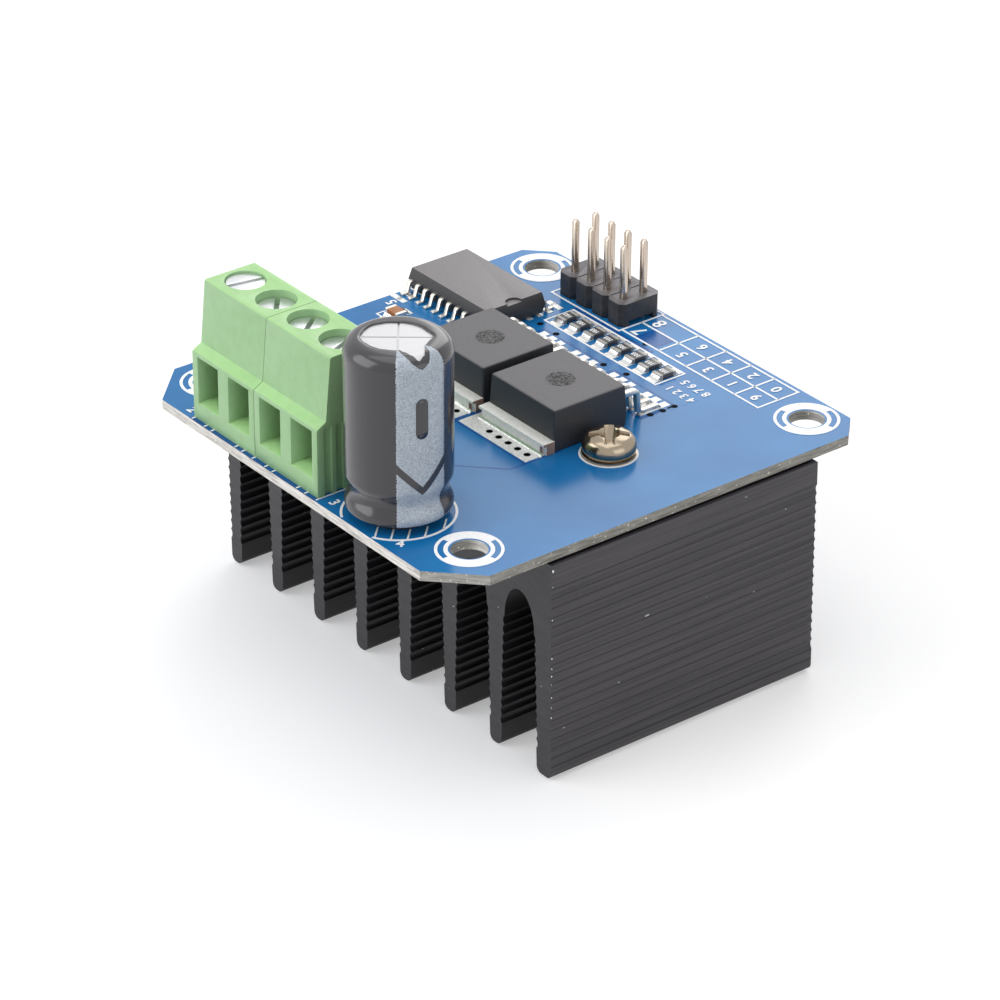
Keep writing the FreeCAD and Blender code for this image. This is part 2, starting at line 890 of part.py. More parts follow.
def make_buffer_leads():
    """Two rows of gull wing leads."""
    face_x = buffer_width / 2
    run = buffer_span / 2 - buffer_foot - face_x
    lead = gull_wing(
        buffer_lead_level,
        face_x,
        run,
        buffer_lead_knee,
        buffer_foot,
        buffer_lead_bend,
        buffer_lead_width,
        buffer_lead_thickness,
    )
    leads = []
    middle = (buffer_legs_per_side - 1) / 2
    for index in range(buffer_legs_per_side):
        offset = (index - middle) * buffer_leg_spacing
        for turn in (0, 180):
            copy = lead.copy()
            copy.rotate(Vector(0, 0, 0), Vector(0, 0, 1), turn)
            copy.translate(on_board(buffer_x, buffer_y + offset))
            leads.append(copy)
    return leads


def make_buffer_body(leads):
    """Moulded body with a half-round index notch in its end."""
    center = on_board(buffer_x, buffer_y, buffer_standoff)
    parting = buffer_lead_level - buffer_standoff
    sizes = (buffer_width, buffer_length, parting, buffer_height, buffer_draft)
    body = drafted_body(center, *sizes)
    shrink = buffer_draft * (buffer_height - parting)
    notch_y = -buffer_length / 2 + shrink
    notch_seat = center + Vector(0, notch_y, buffer_height - buffer_notch_depth)
    notch = post(notch_seat, buffer_notch_d, buffer_notch_depth)
    return body.cut([notch] + leads)


def make_driver_tab(middle_y):
    """Copper tab that carries the chip: a thick plate, notched under both ends of its edge."""
    face = on_board(driver_x - driver_length / 2, middle_y)
    length = tab_reach + tab_flush
    outer = face + Vector(tab_flush - length / 2, 0, 0)
    plate = block(outer, length, tab_width, tab_thickness)
    root_width = tab_width - 2 * tab_root_inset
    root = block(face + Vector(tab_in_body / 2, 0, 0), tab_in_body, root_width, tab_thickness)
    notches = []
    for side in (-1, 1):
        offset_y = side * (tab_width - tab_notch_width) / 2
        corner = face + Vector(tab_notch_depth / 2 - tab_reach, offset_y, 0)
        height = tab_thickness - tab_lip
        notches.append(block(corner, tab_notch_depth, tab_notch_width, height))
    return plate.fuse(root).cut(notches).removeSplitter()


def make_driver_body(middle_y, metal):
    """Moulded body over the tab and lead ends, with a shallow round ejector mark."""
    center = on_board(driver_x, middle_y)
    sizes = (driver_length, driver_width, driver_parting, driver_height, driver_draft)
    body = drafted_body(center, *sizes)
    mark_seat = center + Vector(0, 0, driver_height - driver_dimple_depth)
    mark = post(mark_seat, driver_dimple_d, driver_dimple_depth)
    return body.cut([mark] + metal)


def make_driver_leads(middle_y):
    """Gull wing leads; the middle one is cropped short, as its current leaves by the tab."""
    face_x = driver_length / 2
    lead = gull_wing(
        driver_lead_level,
        face_x,
        driver_lead_run,
        driver_lead_knee,
        driver_foot,
        driver_lead_bend,
        driver_lead_width,
        driver_lead_thickness,
    )
    stub_length = lead_anchor + driver_stub
    stub = block(
        Vector(
            face_x - lead_anchor + stub_length / 2,
            0,
            driver_lead_level - driver_lead_thickness / 2,
        ),
        stub_length,
        driver_lead_width,
        driver_lead_thickness,
    )
    leads = []
    middle = (driver_leg_count - 1) // 2
    for index in range(driver_leg_count):
        copy = stub.copy() if index == middle else lead.copy()
        offset = (index - middle) * driver_leg_spacing
        copy.translate(on_board(driver_x, middle_y + offset))
        leads.append(copy)
    return leads


def chip_core(center, length, width, height, cap):
    """Return the ceramic middle of a chip component that lies along X."""
    return block(center, length - 2 * cap, width, height)


def chip_caps(center, length, width, height, cap):
    """Return the two plated ends, slightly proud of the ceramic."""
    ends = []
    for side in (-1, 1):
        middle = center + Vector(side * (length - cap) / 2, 0, 0)
        ends.append(block(middle, cap, width + 2 * cap_wrap, height + cap_wrap))
    return ends


def resistor_center(index):
    """Return the seat of one resistor in the row."""
    return on_board(resistor_x, resistor_first_y + index * resistor_pitch)


def turned(shapes, center, angle):
    """Turn shapes about a vertical axis through a point."""
    for shape in shapes:
        shape.rotate(center, Vector(0, 0, 1), angle)
    return shapes


def make_header_housing():
    """Plastic strip of square cells with cut corners, split lines and notched feet."""
    half = header_pitch / 2
    low_x = header_x - half
    high_x = header_x + (header_columns - 1) * header_pitch + half
    housing = None
    for row in range(header_rows):
        y = header_y + row * header_pitch
        cut = header_corner
        corners = (
            (low_x + cut, y - half),
            (high_x - cut, y - half),
            (high_x, y - half + cut),
            (high_x, y + half - cut),
            (high_x - cut, y + half),
            (low_x + cut, y + half),
            (low_x, y + half - cut),
            (low_x, y - half + cut),
        )
        outline = [on_board(corner_u, corner_v) for corner_u, corner_v in corners]
        cell = prism(outline, Vector(0, 0, header_height))
        housing = cell if housing is None else housing.fuse(cell)
    cuts = []
    length = header_rows * header_pitch
    width = high_x - low_x
    middle_x = (low_x + high_x) / 2
    middle_y = header_y + (header_rows - 1) * header_pitch / 2
    for row in range(1, header_rows):
        y = header_y - half + row * header_pitch
        for column in range(header_columns):
            x = header_x + column * header_pitch
            seat = on_board(x, y, header_height - header_groove)
            cuts.append(block(seat, header_pitch * 0.5, header_groove, header_groove))
    notch_width = width - 2 * header_foot_inset - 2 * header_corner
    foot_seat = on_board(middle_x, middle_y)
    cuts.append(block(foot_seat, notch_width, length, header_foot_notch))
    for center in header_pin_centers():
        cuts.append(block(center, header_pin_width, header_pin_width, header_height))
    return housing.cut(cuts).removeSplitter()


def make_header_pin(center):
    """Square pin with tapered tips, pressed through the housing and the board."""
    foot = Vector(center.x, center.y, board_bottom - header_pin_reach)
    full = header_pin_top + board_thickness + header_pin_reach
    body = block(
        foot + Vector(0, 0, header_pin_tip),
        header_pin_width,
        header_pin_width,
        full - 2 * header_pin_tip,
    )
    tips = []
    for level, outward in ((0.0, 1), (full, -1)):
        wide_at = foot + Vector(0, 0, level + outward * header_pin_tip)
        narrow_at = foot + Vector(0, 0, level)
        wide = rectangle(wide_at, header_pin_width, header_pin_width)
        narrow = rectangle(narrow_at, header_pin_width * 0.45, header_pin_width * 0.45)
        tips.append(Part.makeLoft([narrow, wide], True, True))
    return body.fuse(tips).removeSplitter()


def solder_cone(center, pin, pin_half):
    """Return the solder fillet round a pin under the board."""
    seat = Vector(center.x, center.y, board_bottom)
    wide = pin_half + solder_collar
    narrow = pin_half + 0.08
    cone = Part.makeCone(wide, narrow, solder_height, seat, Vector(0, 0, -1))
    return cone.cut(pin)


parts = {}
parts["circuit_board"] = make_circuit_board()
parts["heatsink"] = make_heatsink()
parts["thermal_pad"] = make_thermal_pad()
screw_seats = sink_screw_centers()
sink_screws = [make_sink_screw(seat, turn) for seat, turn in zip(screw_seats, recess_turn)]
parts["heatsink_screws"] = Part.Compound(sink_screws)
parts["heatsink_washers"] = Part.Compound([make_washer(seat) for seat in screw_seats])

for number, side in enumerate(("front", "rear")):
    parts["terminal_housing_" + side] = make_terminal_housing(number)

poles = pole_centers()
clamp_frames = []
for index, pole in enumerate(poles):
    frame = make_clamp_frame(pole)
    clamp_frames.append(frame)
    label = str(index + 1)
    parts["clamp_frame_" + label] = frame
    parts["pressure_plate_" + label] = make_pressure_plate(pole, index)
    parts["clamp_screw_" + label] = make_clamp_screw(pole, index)

capacitor_leads = [make_capacitor_lead(center) for center in capacitor_lead_centers()]
parts["capacitor_can"] = make_capacitor_can()
parts["capacitor_sleeve"] = make_capacitor_sleeve()
parts["capacitor_seal"] = make_capacitor_seal()
parts["capacitor_leads"] = Part.Compound(capacitor_leads)

buffer_leads = make_buffer_leads()
parts["buffer_chip_body"] = make_buffer_body(buffer_leads)
parts["buffer_chip_leads"] = Part.Compound(buffer_leads)

for index, middle_y in enumerate(driver_y):
    label = "driver_chip_" + str(index + 1)
    tab = make_driver_tab(middle_y)
    leads = make_driver_leads(middle_y)
    parts[label + "_tab"] = tab
    parts[label + "_body"] = make_driver_body(middle_y, [tab] + leads)
    parts[label + "_leads"] = Part.Compound(leads)

for index in range(resistor_count):
    seat = resistor_center(index)
    label = "resistor_" + str(index + 1)
    sizes = (resistor_length, resistor_width, resistor_height, resistor_cap)
    parts[label + "_body"] = chip_core(seat, *sizes)
    parts[label + "_ends"] = Part.Compound(chip_caps(seat, *sizes))

bypass_seat = on_board(bypass_x, bypass_y)
bypass_sizes = (bypass_length, bypass_width, bypass_height, resistor_cap)
bypass_body = turned([chip_core(bypass_seat, *bypass_sizes)], bypass_seat, 90)[0]
bypass_ends = turned(chip_caps(bypass_seat, *bypass_sizes), bypass_seat, 90)
parts["bypass_capacitor_body"] = bypass_body
parts["bypass_capacitor_ends"] = Part.Compound(bypass_ends)

header_pins = [make_header_pin(center) for center in header_pin_centers()]
parts["header_housing"] = make_header_housing()
parts["header_pins"] = Part.Compound(header_pins)

terminal_half = math.hypot(clamp_pin_width, clamp_pin_thickness) / 2
header_half = header_pin_width / math.sqrt(2)
cones = []
for center, frame in zip(poles, clamp_frames):
    cones.append(solder_cone(center, frame, terminal_half))
for center, lead in zip(capacitor_lead_centers(), capacitor_leads):
    cones.append(solder_cone(center, lead, capacitor_lead_d / 2))
for center, pin in zip(header_pin_centers(), header_pins):
    cones.append(solder_cone(center, pin, header_half))
parts["solder_joints"] = Part.Compound(cones)

os.makedirs("parts", exist_ok=True)
for name, shape in parts.items():
    shape.exportStep("parts/" + name + ".step")
    solids = len(shape.Solids)
    print(name, solids, round(shape.Volume, 3), shape.isValid())
print(len(parts), "parts")
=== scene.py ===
import math
import random

import bmesh
import bpy
from mathutils import Matrix, Vector


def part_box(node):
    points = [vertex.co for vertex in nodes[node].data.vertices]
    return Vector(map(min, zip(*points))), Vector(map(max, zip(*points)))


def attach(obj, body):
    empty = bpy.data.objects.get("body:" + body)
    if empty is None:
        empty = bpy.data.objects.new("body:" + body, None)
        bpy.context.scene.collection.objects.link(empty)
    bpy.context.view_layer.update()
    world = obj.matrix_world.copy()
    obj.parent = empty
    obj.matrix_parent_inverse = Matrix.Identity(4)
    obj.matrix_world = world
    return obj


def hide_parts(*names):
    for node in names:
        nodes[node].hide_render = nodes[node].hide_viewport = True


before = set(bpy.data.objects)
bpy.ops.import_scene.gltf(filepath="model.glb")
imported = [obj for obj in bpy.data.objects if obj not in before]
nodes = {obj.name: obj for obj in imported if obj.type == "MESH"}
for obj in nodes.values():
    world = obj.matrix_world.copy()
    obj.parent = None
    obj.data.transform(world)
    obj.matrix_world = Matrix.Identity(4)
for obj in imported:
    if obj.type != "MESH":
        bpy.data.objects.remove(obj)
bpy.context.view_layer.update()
mm = 0.001

# the board's own corner (terminal edge, capacitor side) and its top, in the row frame, in mm
board = {"x": -25.0, "y": -25.37, "top": 24.16}
weld = 0.0005 * mm  # points nearer than this are one


def onBoard(x, y, h=0.0):
    # a place measured in mm from the board's corner and over its top
    return Vector((board["x"] + x, board["y"] + y, board["top"] + h)) * mm


# materials: colour in sRGB hex, everything else in Blender's own units. The real grain of plate, ink, epoxy and
# anodised skin is 0.01 to 0.05 mm, finer than a pixel here, so it is drawn 0.12 to 1 mm wide, where it shows

def linear(hexColor):
    values = [int(hexColor[i:i + 2], 16) / 255 for i in (0, 2, 4)]
    return tuple(v / 12.92 if v <= 0.04045 else ((v + 0.055) / 1.055) ** 2.4 for v in values) + (1.0,)


def addNode(material, kind, settings=None, links=None):
    # one node, its settings by attribute or socket, and the sockets that feed it
    item = material.node_tree.nodes.new(kind)
    for key, value in (settings or {}).items():
        if isinstance(key, str) and hasattr(item, key):
            setattr(item, key, value)
        else:
            item.inputs[key].default_value = value
    for key, source in (links or {}).items():
        material.node_tree.links.new(source, item.inputs[key])
    return item


def newMaterial(name, color, roughness=0.5, metallic=0.0, **sockets):
    material = bpy.data.materials.new(name)
    material.use_nodes = True
    shader = material.node_tree.nodes["Principled BSDF"]
    shader.inputs["Base Color"].default_value = linear(color)
    shader.inputs["Roughness"].default_value = roughness
    shader.inputs["Metallic"].default_value = metallic
    for key, value in sockets.items():
        shader.inputs[key.replace("_", " ")].default_value = value
    return material, shader


def objectPoint(material):
    return addNode(material, "ShaderNodeTexCoord").outputs["Object"]


def noiseOf(material, perMm, detail=3.0, stretch=None):
    # perMm is how many grains stand in one millimetre
    place = objectPoint(material)
    if stretch:
        place = addNode(material, "ShaderNodeMapping", {"Scale": stretch}, {"Vector": place}).outputs[0]
    settings = {"Scale": perMm / mm, "Detail": detail}
    return addNode(material, "ShaderNodeTexNoise", settings, {"Vector": place})


def grain(material, shader, perMm, height, share=1.0, detail=3.0, stretch=None):
    # bump from noise, height is in mm
    noise = noiseOf(material, perMm, detail, stretch)
    bump = addNode(material, "ShaderNodeBump", {"Strength": share, "Distance": height * mm},
                   {"Height": noise.outputs["Fac"]})
    material.node_tree.links.new(bump.outputs["Normal"], shader.inputs["Normal"])
    return noise


def spread(material, source, low, high, toLow=0.0, toHigh=1.0):
    # a value stretched from one span to another
    settings = {"From Min": low, "From Max": high, "To Min": toLow, "To Max": toHigh}
    return addNode(material, "ShaderNodeMapRange", settings, {"Value": source}).outputs["Result"]


def blendColors(material, share, low, high):
    # low and high are hex colours or colour sockets
    settings, links = {"data_type": "RGBA"}, {0: share}
    for socket, color in ((6, low), (7, high)):
        if isinstance(color, str):
            settings[socket] = linear(color)
        else:
            links[socket] = color
    return addNode(material, "ShaderNodeMix", settings, links).outputs[2]


def mottle(material, noise, low, high, span=(0.3, 0.7)):
    # a colour that wanders between two colours with a noise
    return blendColors(material, spread(material, noise.outputs["Fac"], *span), low, high)


def tint(material, shader, noise, low, high, span=(0.3, 0.7)):
    # the base colour wanders
    color = mottle(material, noise, low, high, span)
    material.node_tree.links.new(color, shader.inputs["Base Color"])


def wanderRoughness(material, shader, noise, low, high):
    value = spread(material, noise.outputs["Fac"], 0.0, 1.0, low, high)
    material.node_tree.links.new(value, shader.inputs["Roughness"])


def facing(material, axis, limit, soft=0.01):
    # 1 where the surface looks along an axis more than limit, either way, with a soft start
    normal = addNode(material, "ShaderNodeNewGeometry").outputs["True Normal"]
    part = addNode(material, "ShaderNodeSeparateXYZ", links={0: normal}).outputs[axis]
    size = addNode(material, "ShaderNodeMath", {"operation": "ABSOLUTE"}, {0: part}).outputs[0]
    return spread(material, size, limit, limit + soft)


def wallsAndPaintedLitTops(material, shader, noise, walls, litTopTones, limit=0.7, soft=0.01):
    # one pair of tones on the walls and another, paler pair on the level faces, as painted light from above
    tones = [mottle(material, noise, *pair) for pair in (walls, litTopTones)]
    skin = blendColors(material, facing(material, "Z", limit, soft), *tones)
    material.node_tree.links.new(skin, shader.inputs["Base Color"])


# solder mask on woven laminate: glossy lacquer over the weave, a little cloudy; the sawn edges show pale
# glass fibres, and the edges that face along Y are painted greyer and darker than the other two, as painted
# shade
laminate = {"mask": "156aa9", "maskHigh": "1b77b6", "bare": "0d5297", "bareLow": "0b4c90",
            "bareHigh": "10589e", "edge": "ebe8e4", "edgeDark": "b2afaa", "shadedEdge": "a3a19a",
            "shadedEdgeDark": "73716a", "speck": "f0ece4", "gloss": 0.2, "sawn": 0.75, "specular": 0.3,
            "weaveMm": 0.5, "weaveDeepMm": 0.01}
maskBlue, shader = newMaterial("solderMaskOnCopper", laminate["mask"], laminate["gloss"],
                               Specular_IOR_Level=laminate["specular"])
weave = noiseOf(maskBlue, 1 / laminate["weaveMm"], 1.0)
fibres = noiseOf(maskBlue, 1.0, 5.0, (0.5, 0.5, 6.0))
specks = noiseOf(maskBlue, 3.0, 2.0)
edgeTone = mottle(maskBlue, fibres, laminate["edgeDark"], laminate["edge"], (0.32, 0.62))
# darker tones for the edges facing along Y: painted shade
shadedEdgeTone = mottle(maskBlue, fibres, laminate["shadedEdgeDark"], laminate["shadedEdge"], (0.32, 0.62))
edgeTone = blendColors(maskBlue, facing(maskBlue, "Y", 0.35, 0.5), edgeTone, shadedEdgeTone)
edgeTone = mottle(maskBlue, specks, edgeTone, laminate["speck"], (0.66, 0.7))
isFlat = facing(maskBlue, "Z", 0.5)
lacquer = mottle(maskBlue, noiseOf(maskBlue, 0.12, 2.0), laminate["mask"], laminate["maskHigh"])
skin = blendColors(maskBlue, isFlat, edgeTone, lacquer)
maskBlue.node_tree.links.new(skin, shader.inputs["Base Color"])
dull = spread(maskBlue, isFlat, 0.0, 1.0, laminate["sawn"], laminate["gloss"])
maskBlue.node_tree.links.new(dull, shader.inputs["Roughness"])
bump = addNode(maskBlue, "ShaderNodeBump", {"Strength": 0.12, "Distance": laminate["weaveDeepMm"] * mm},
               {"Height": weave.outputs["Fac"]})
maskBlue.node_tree.links.new(bump.outputs["Normal"], shader.inputs["Normal"])

# the same lacquer where the copper under it is etched away: darker and deeper
maskOnBare, shader = newMaterial("solderMaskOnBareLaminate", laminate["bare"], 0.22,
                                 Specular_IOR_Level=laminate["specular"])
noise = grain(maskOnBare, shader, 2.0, laminate["weaveDeepMm"], 0.12)
tint(maskOnBare, shader, noise, laminate["bareLow"], laminate["bareHigh"])

# walls of the small plated holes: nearly black with no shine, as painted shade inside the holes
barrelPaintedShade, shader = newMaterial("holeWallPaintedShade", "0a0e14", 0.7, Specular_IOR_Level=0.05)
grain(barrelPaintedShade, shader, 6.0, 0.02, 0.5)

# screen printed ink: matt white with ragged density
printInk, shader = newMaterial("screenPrintedInk", "f2f4f6", 0.55)
tint(printInk, shader, grain(printInk, shader, 6.0, 0.006, 0.4), "e2e8f0", "ffffff", (0.25, 0.5))

# hot tinned copper pads: bright, uneven, slightly rippled
tinnedPad, shader = newMaterial("hotTinnedPad", "e6e4e0", 0.34, 0.4)
noise = grain(tinnedPad, shader, 4.0, 0.04, 0.6)
wanderRoughness(tinnedPad, shader, noise, 0.24, 0.5)
tint(tinnedPad, shader, noise, "cfcfce", "f4f4f2", (0.3, 0.6))

# solder fillets: smooth bright metal with soft ripples
solderMetal, shader = newMaterial("reflowedSolder", "dcdcdc", 0.2, 0.9)
grain(solderMetal, shader, 1.6, 0.06, 0.6)

# tin plated leads: satin metal, fine grain
leadTin, shader = newMaterial("tinPlatedLead", "e4dfd6", 0.27, 0.9)
wanderRoughness(leadTin, shader, grain(leadTin, shader, 5.0, 0.008, 0.4), 0.2, 0.4)

# end caps of the chip resistors: duller and greyer than the leads
endTin, shader = newMaterial("dullTinEndCap", "a5a39f", 0.45, 0.5)
wanderRoughness(endTin, shader, grain(endTin, shader, 5.0, 0.01, 0.4), 0.34, 0.55)

# tab of a power chip: matt tin plate, with bare copper where it was cut at its ends
tabTin, shader = newMaterial("mattTinnedTab", "deded8", 0.5, 0.15)
noise = grain(tabTin, shader, 3.0, 0.01, 0.4)
tone = blendColors(tabTin, facing(tabTin, "Y", 0.8), mottle(tabTin, noise, "e9eae4", "f9f9f6"), "967d70")
tabTin.node_tree.links.new(tone, shader.inputs["Base Color"])

# anodised aluminium extrusion: near black satin, fine die lines along X, outer flanks painted paler than the
# channels between the fins, as painted shade in the channels, painted shade in the hollows under the flanks'
# ribs, sawn ends with saw marks, and bare flecks where it was knocked
extrusion = {"inner": "0b0a0d", "innerHigh": "151418", "flank": "2f2c30", "flankHigh": "444145",
             "groove": "060608", "sawn": "222125", "sawnHigh": "2e2d31", "fleck": "b9b8bb",
             "lineMm": 0.28, "ribMm": 1.0, "headAtMm": 20.7, "flankAtMm": 25.4}
anodised, shader = newMaterial("blackAnodisedExtrusion", extrusion["inner"], 0.42, Specular_IOR_Level=0.45)
dieLines = grain(anodised, shader, 1 / extrusion["lineMm"], 0.03, 0.5, 3.0, (0.02, 1.0, 1.0))
wanderRoughness(anodised, shader, dieLines, 0.34, 0.55)
lineShare = spread(anodised, dieLines.outputs["Fac"], 0.35, 0.65)
metal = blendColors(anodised, lineShare, extrusion["inner"], extrusion["innerHigh"])
flank = blendColors(anodised, lineShare, extrusion["flank"], extrusion["flankHigh"])
place = addNode(anodised, "ShaderNodeSeparateXYZ", links={0: objectPoint(anodised)})
# dark lines just under each rib's crest on the flanks, below the head band: painted shade in the hollows
ribs = addNode(anodised, "ShaderNodeMath", {"operation": "MULTIPLY", 1: 1 / (extrusion["ribMm"] * mm)},
               {0: place.outputs["Z"]})
ribs = addNode(anodised, "ShaderNodeMath", {"operation": "ADD", 1: 0.5}, {0: ribs.outputs[0]})
ribs = addNode(anodised, "ShaderNodeMath", {"operation": "FRACT"}, {0: ribs.outputs[0]})
groove = spread(anodised, ribs.outputs[0], 0.68, 0.9)
belowHead = addNode(anodised, "ShaderNodeMath", {"operation": "LESS_THAN", 1: extrusion["headAtMm"] * mm},
                    {0: place.outputs["Z"]})
groove = addNode(anodised, "ShaderNodeMath", {"operation": "MULTIPLY"}, {0: groove, 1: belowHead.outputs[0]})
flank = blendColors(anodised, groove.outputs[0], flank, extrusion["groove"])
# the inner tones are the flank's skin darkened, as painted shade in the channels between the fins
across = addNode(anodised, "ShaderNodeMath", {"operation": "ABSOLUTE"}, {0: place.outputs["Y"]})
isFlank = addNode(anodised, "ShaderNodeMath", {"operation": "GREATER_THAN", 1: extrusion["flankAtMm"] * mm},
                  {0: across.outputs[0]})
metal = blendColors(anodised, isFlank.outputs[0], metal, flank)
sawMarks = noiseOf(anodised, 2.5, 3.0, (1.0, 0.1, 1.0))
sawn = mottle(anodised, sawMarks, extrusion["sawn"], extrusion["sawnHigh"])
metal = blendColors(anodised, facing(anodised, "X", 0.9), metal, sawn)
flecks = noiseOf(anodised, 1.3, 2.0, (0.6, 1.0, 1.0))
metal = mottle(anodised, flecks, metal, extrusion["fleck"], (0.775, 0.785))
anodised.node_tree.links.new(metal, shader.inputs["Base Color"])

# bare aluminium where the anodised skin is chipped off
bareChip, shader = newMaterial("chippedBareAluminium", "e8e8ea", 0.35, 0.8)
grain(bareChip, shader, 6.0, 0.03, 0.7)

# silicone pad: soft, dull
siliconePad, shader = newMaterial("siliconePad", "1c1c1e", 0.8)
grain(siliconePad, shader, 4.0, 0.02, 0.4)

# nickel plated steel screw: warm bright metal
nickelSteel, shader = newMaterial("nickelPlatedSteel", "9f9280", 0.14, 1.0)
wanderRoughness(nickelSteel, shader, grain(nickelSteel, shader, 1.5, 0.03, 0.4), 0.1, 0.26)

# zinc plated clamp screw: bright, lightly scratched by the driver
zincSteel, shader = newMaterial("zincPlatedSteel", "e4e6e8", 0.28, 0.85)
wanderRoughness(zincSteel, shader, grain(zincSteel, shader, 4.0, 0.02, 0.5), 0.2, 0.45)

# nickel plated brass of the clamp frames: duller and yellower than the screws
clampBrass, shader = newMaterial("nickelPlatedBrass", "b8ab90", 0.3, 1.0)
grain(clampBrass, shader, 3.0, 0.01, 0.4)

# moulded nylon housing: satin green, faint orange peel, light scatters a little inside; its level tops are
# painted paler, as painted light
greenNylon, shader = newMaterial("mouldedGreenNylon", "92be82", 0.36, Subsurface_Weight=0.12,
                                 Subsurface_Scale=0.6 * mm, Subsurface_Radius=(0.4, 1.0, 0.3))
noise = grain(greenNylon, shader, 0.9, 0.012, 0.3)
wallsAndPaintedLitTops(greenNylon, shader, noise, ("94ba88", "9ac190"), ("a3d18d", "abd897"), 0.6, 0.2)

# shrunk film sleeve: glossy black plastic
sleeveFilm, shader = newMaterial("shrunkFilmSleeve", "333136", 0.2, Coat_Weight=0.3, Coat_Roughness=0.06)
grain(sleeveFilm, shader, 0.5, 0.03, 0.3)

# silver ink on the sleeve: pale grey blue, mottled by the gravure dots, drawn coarser than the real dots
sleeveInk, shader = newMaterial("silverSleeveInk", "9aa4af", 0.32, 0.1)
tint(sleeveInk, shader, grain(sleeveInk, shader, 7.0, 0.01, 0.4, 4.0), "929ba6", "bac4ce", (0.36, 0.64))

# drawn aluminium can: pale satin metal
canAluminium, shader = newMaterial("drawnAluminium", "cfcfd1", 0.4, 0.35)
grain(canAluminium, shader, 4.0, 0.006, 0.4)

# moulded rubber seal: matt, near black
sealRubber, shader = newMaterial("sealRubber", "17171a", 0.7)
grain(sealRubber, shader, 4.0, 0.02, 0.4)

# moulding epoxy: grey black with the fine texture of a spark eroded mould; its top is painted paler, as painted
# light
epoxy, shader = newMaterial("mouldedEpoxy", "2b2a2d", 0.5)
noise = grain(epoxy, shader, 7.0, 0.025, 0.7)
wallsAndPaintedLitTops(epoxy, shader, noise, ("2a2b2e", "35363a"), ("4e4c4f", "605e61"))

# the same epoxy in the round mark of the ejector pin: rough, with dark and pale grains
roughEpoxy, shader = newMaterial("ejectorPinMark", "343335", 0.75)
noise = grain(roughEpoxy, shader, 4.5, 0.07, 1.0, 5.0)
tint(roughEpoxy, shader, noise, "232223", "636163", (0.4, 0.6))

# buffer chip epoxy: dark walls, and a top painted much paler than them, as painted light
bufferEpoxyLitTop, shader = newMaterial("bufferEpoxyPaintedLitTop", "6d6b6c", 0.5)
noise = grain(bufferEpoxyLitTop, shader, 8.0, 0.02, 0.6)
wallsAndPaintedLitTops(bufferEpoxyLitTop, shader, noise, ("2c2b2c", "3a393a"), ("767374", "868384"))

# glazed chip resistor top; tan fired ceramic of the small capacitor
glaze, shader = newMaterial("glazedCeramic", "4a4a4d", 0.28)
grain(glaze, shader, 3.0, 0.01, 0.4)
tanCeramic, shader = newMaterial("firedCeramic", "a5683a", 0.5)
tint(tanCeramic, shader, grain(tanCeramic, shader, 5.0, 0.01, 0.4), "8f5730", "b87a4a")

# header strip: moulded black polyester, satin; its pins are drawn wire with a smooth warm plate
blackPolyester, shader = newMaterial("mouldedPolyester", "39373b", 0.42)
noise = grain(blackPolyester, shader, 3.0, 0.012, 0.4)
# the housing's top is painted paler than its walls, as painted light
wallsAndPaintedLitTops(blackPolyester, shader, noise, ("222326", "2f3034"), ("5c595d", "5c595d"))
pinPlate, shader = newMaterial("drawnPlatedPin", "c8bbae", 0.17, 1.0)
grain(pinPlate, shader, 3.0, 0.01, 0.3, 3.0, (1.0, 1.0, 0.05))
print("stage: materials")


# meshes

def meshPiece(name, points, faces, material, stands=(), smooth=False):
    mesh = bpy.data.meshes.new(name)
    mesh.from_pydata([tuple(p) for p in points], [], faces)
    mesh.validate()
    piece = bpy.data.objects.new(name, mesh)
    bpy.context.scene.collection.objects.link(piece)
    mesh.materials.append(material)
    for face in mesh.polygons:
        face.use_smooth = smooth
    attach(piece, "root")
    if stands:
        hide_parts(*stands)
    return piece


def dress(name, material):
    item = nodes[name]
    item.data.materials.clear()
    item.data.materials.append(material)


def roundEdges(piece, width, steps=2, angle=28.0):
    edges = piece.modifiers.new("roundedEdges", "BEVEL")
    edges.width = width * mm
    edges.segments = steps
    edges.limit_method = "ANGLE"
    edges.angle_limit = math.radians(angle)
    edges.harden_normals = True
    for face in piece.data.polygons:
        face.use_smooth = True


def softCopy(name, width, material, body="root", angle=28.0):
    # the node's own form with its sharp edges rounded, to stand for it
    source = nodes[name]
    work = bmesh.new()
    work.from_mesh(source.data)
    bmesh.ops.remove_doubles(work, verts=work.verts, dist=weld)
    bmesh.ops.dissolve_limit(work, angle_limit=math.radians(1.0), verts=work.verts, edges=work.edges)
    mesh = bpy.data.meshes.new(name + "_soft")
    work.to_mesh(mesh)
    work.free()
    piece = bpy.data.objects.new(name + "_soft", mesh)
    bpy.context.scene.collection.objects.link(piece)
    mesh.materials.append(material)
    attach(piece, body)
    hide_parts(name)
    roundEdges(piece, width, angle=angle)


def gridFaces(rows, columns, base=0, flip=False):
    faces = []
    for i in range(rows):
        for j in range(columns):
            a = base + i * (columns + 1) + j
            b, c, d = a + 1, a + columns + 2, a + columns + 1
            faces.append((d, c, b, a) if flip else (a, b, c, d))
    return faces


def circle(x, y, radius, count):
    turns = [2 * math.pi * k / count for k in range(count)]
    return [(x + radius * math.cos(a), y + radius * math.sin(a)) for a in turns]


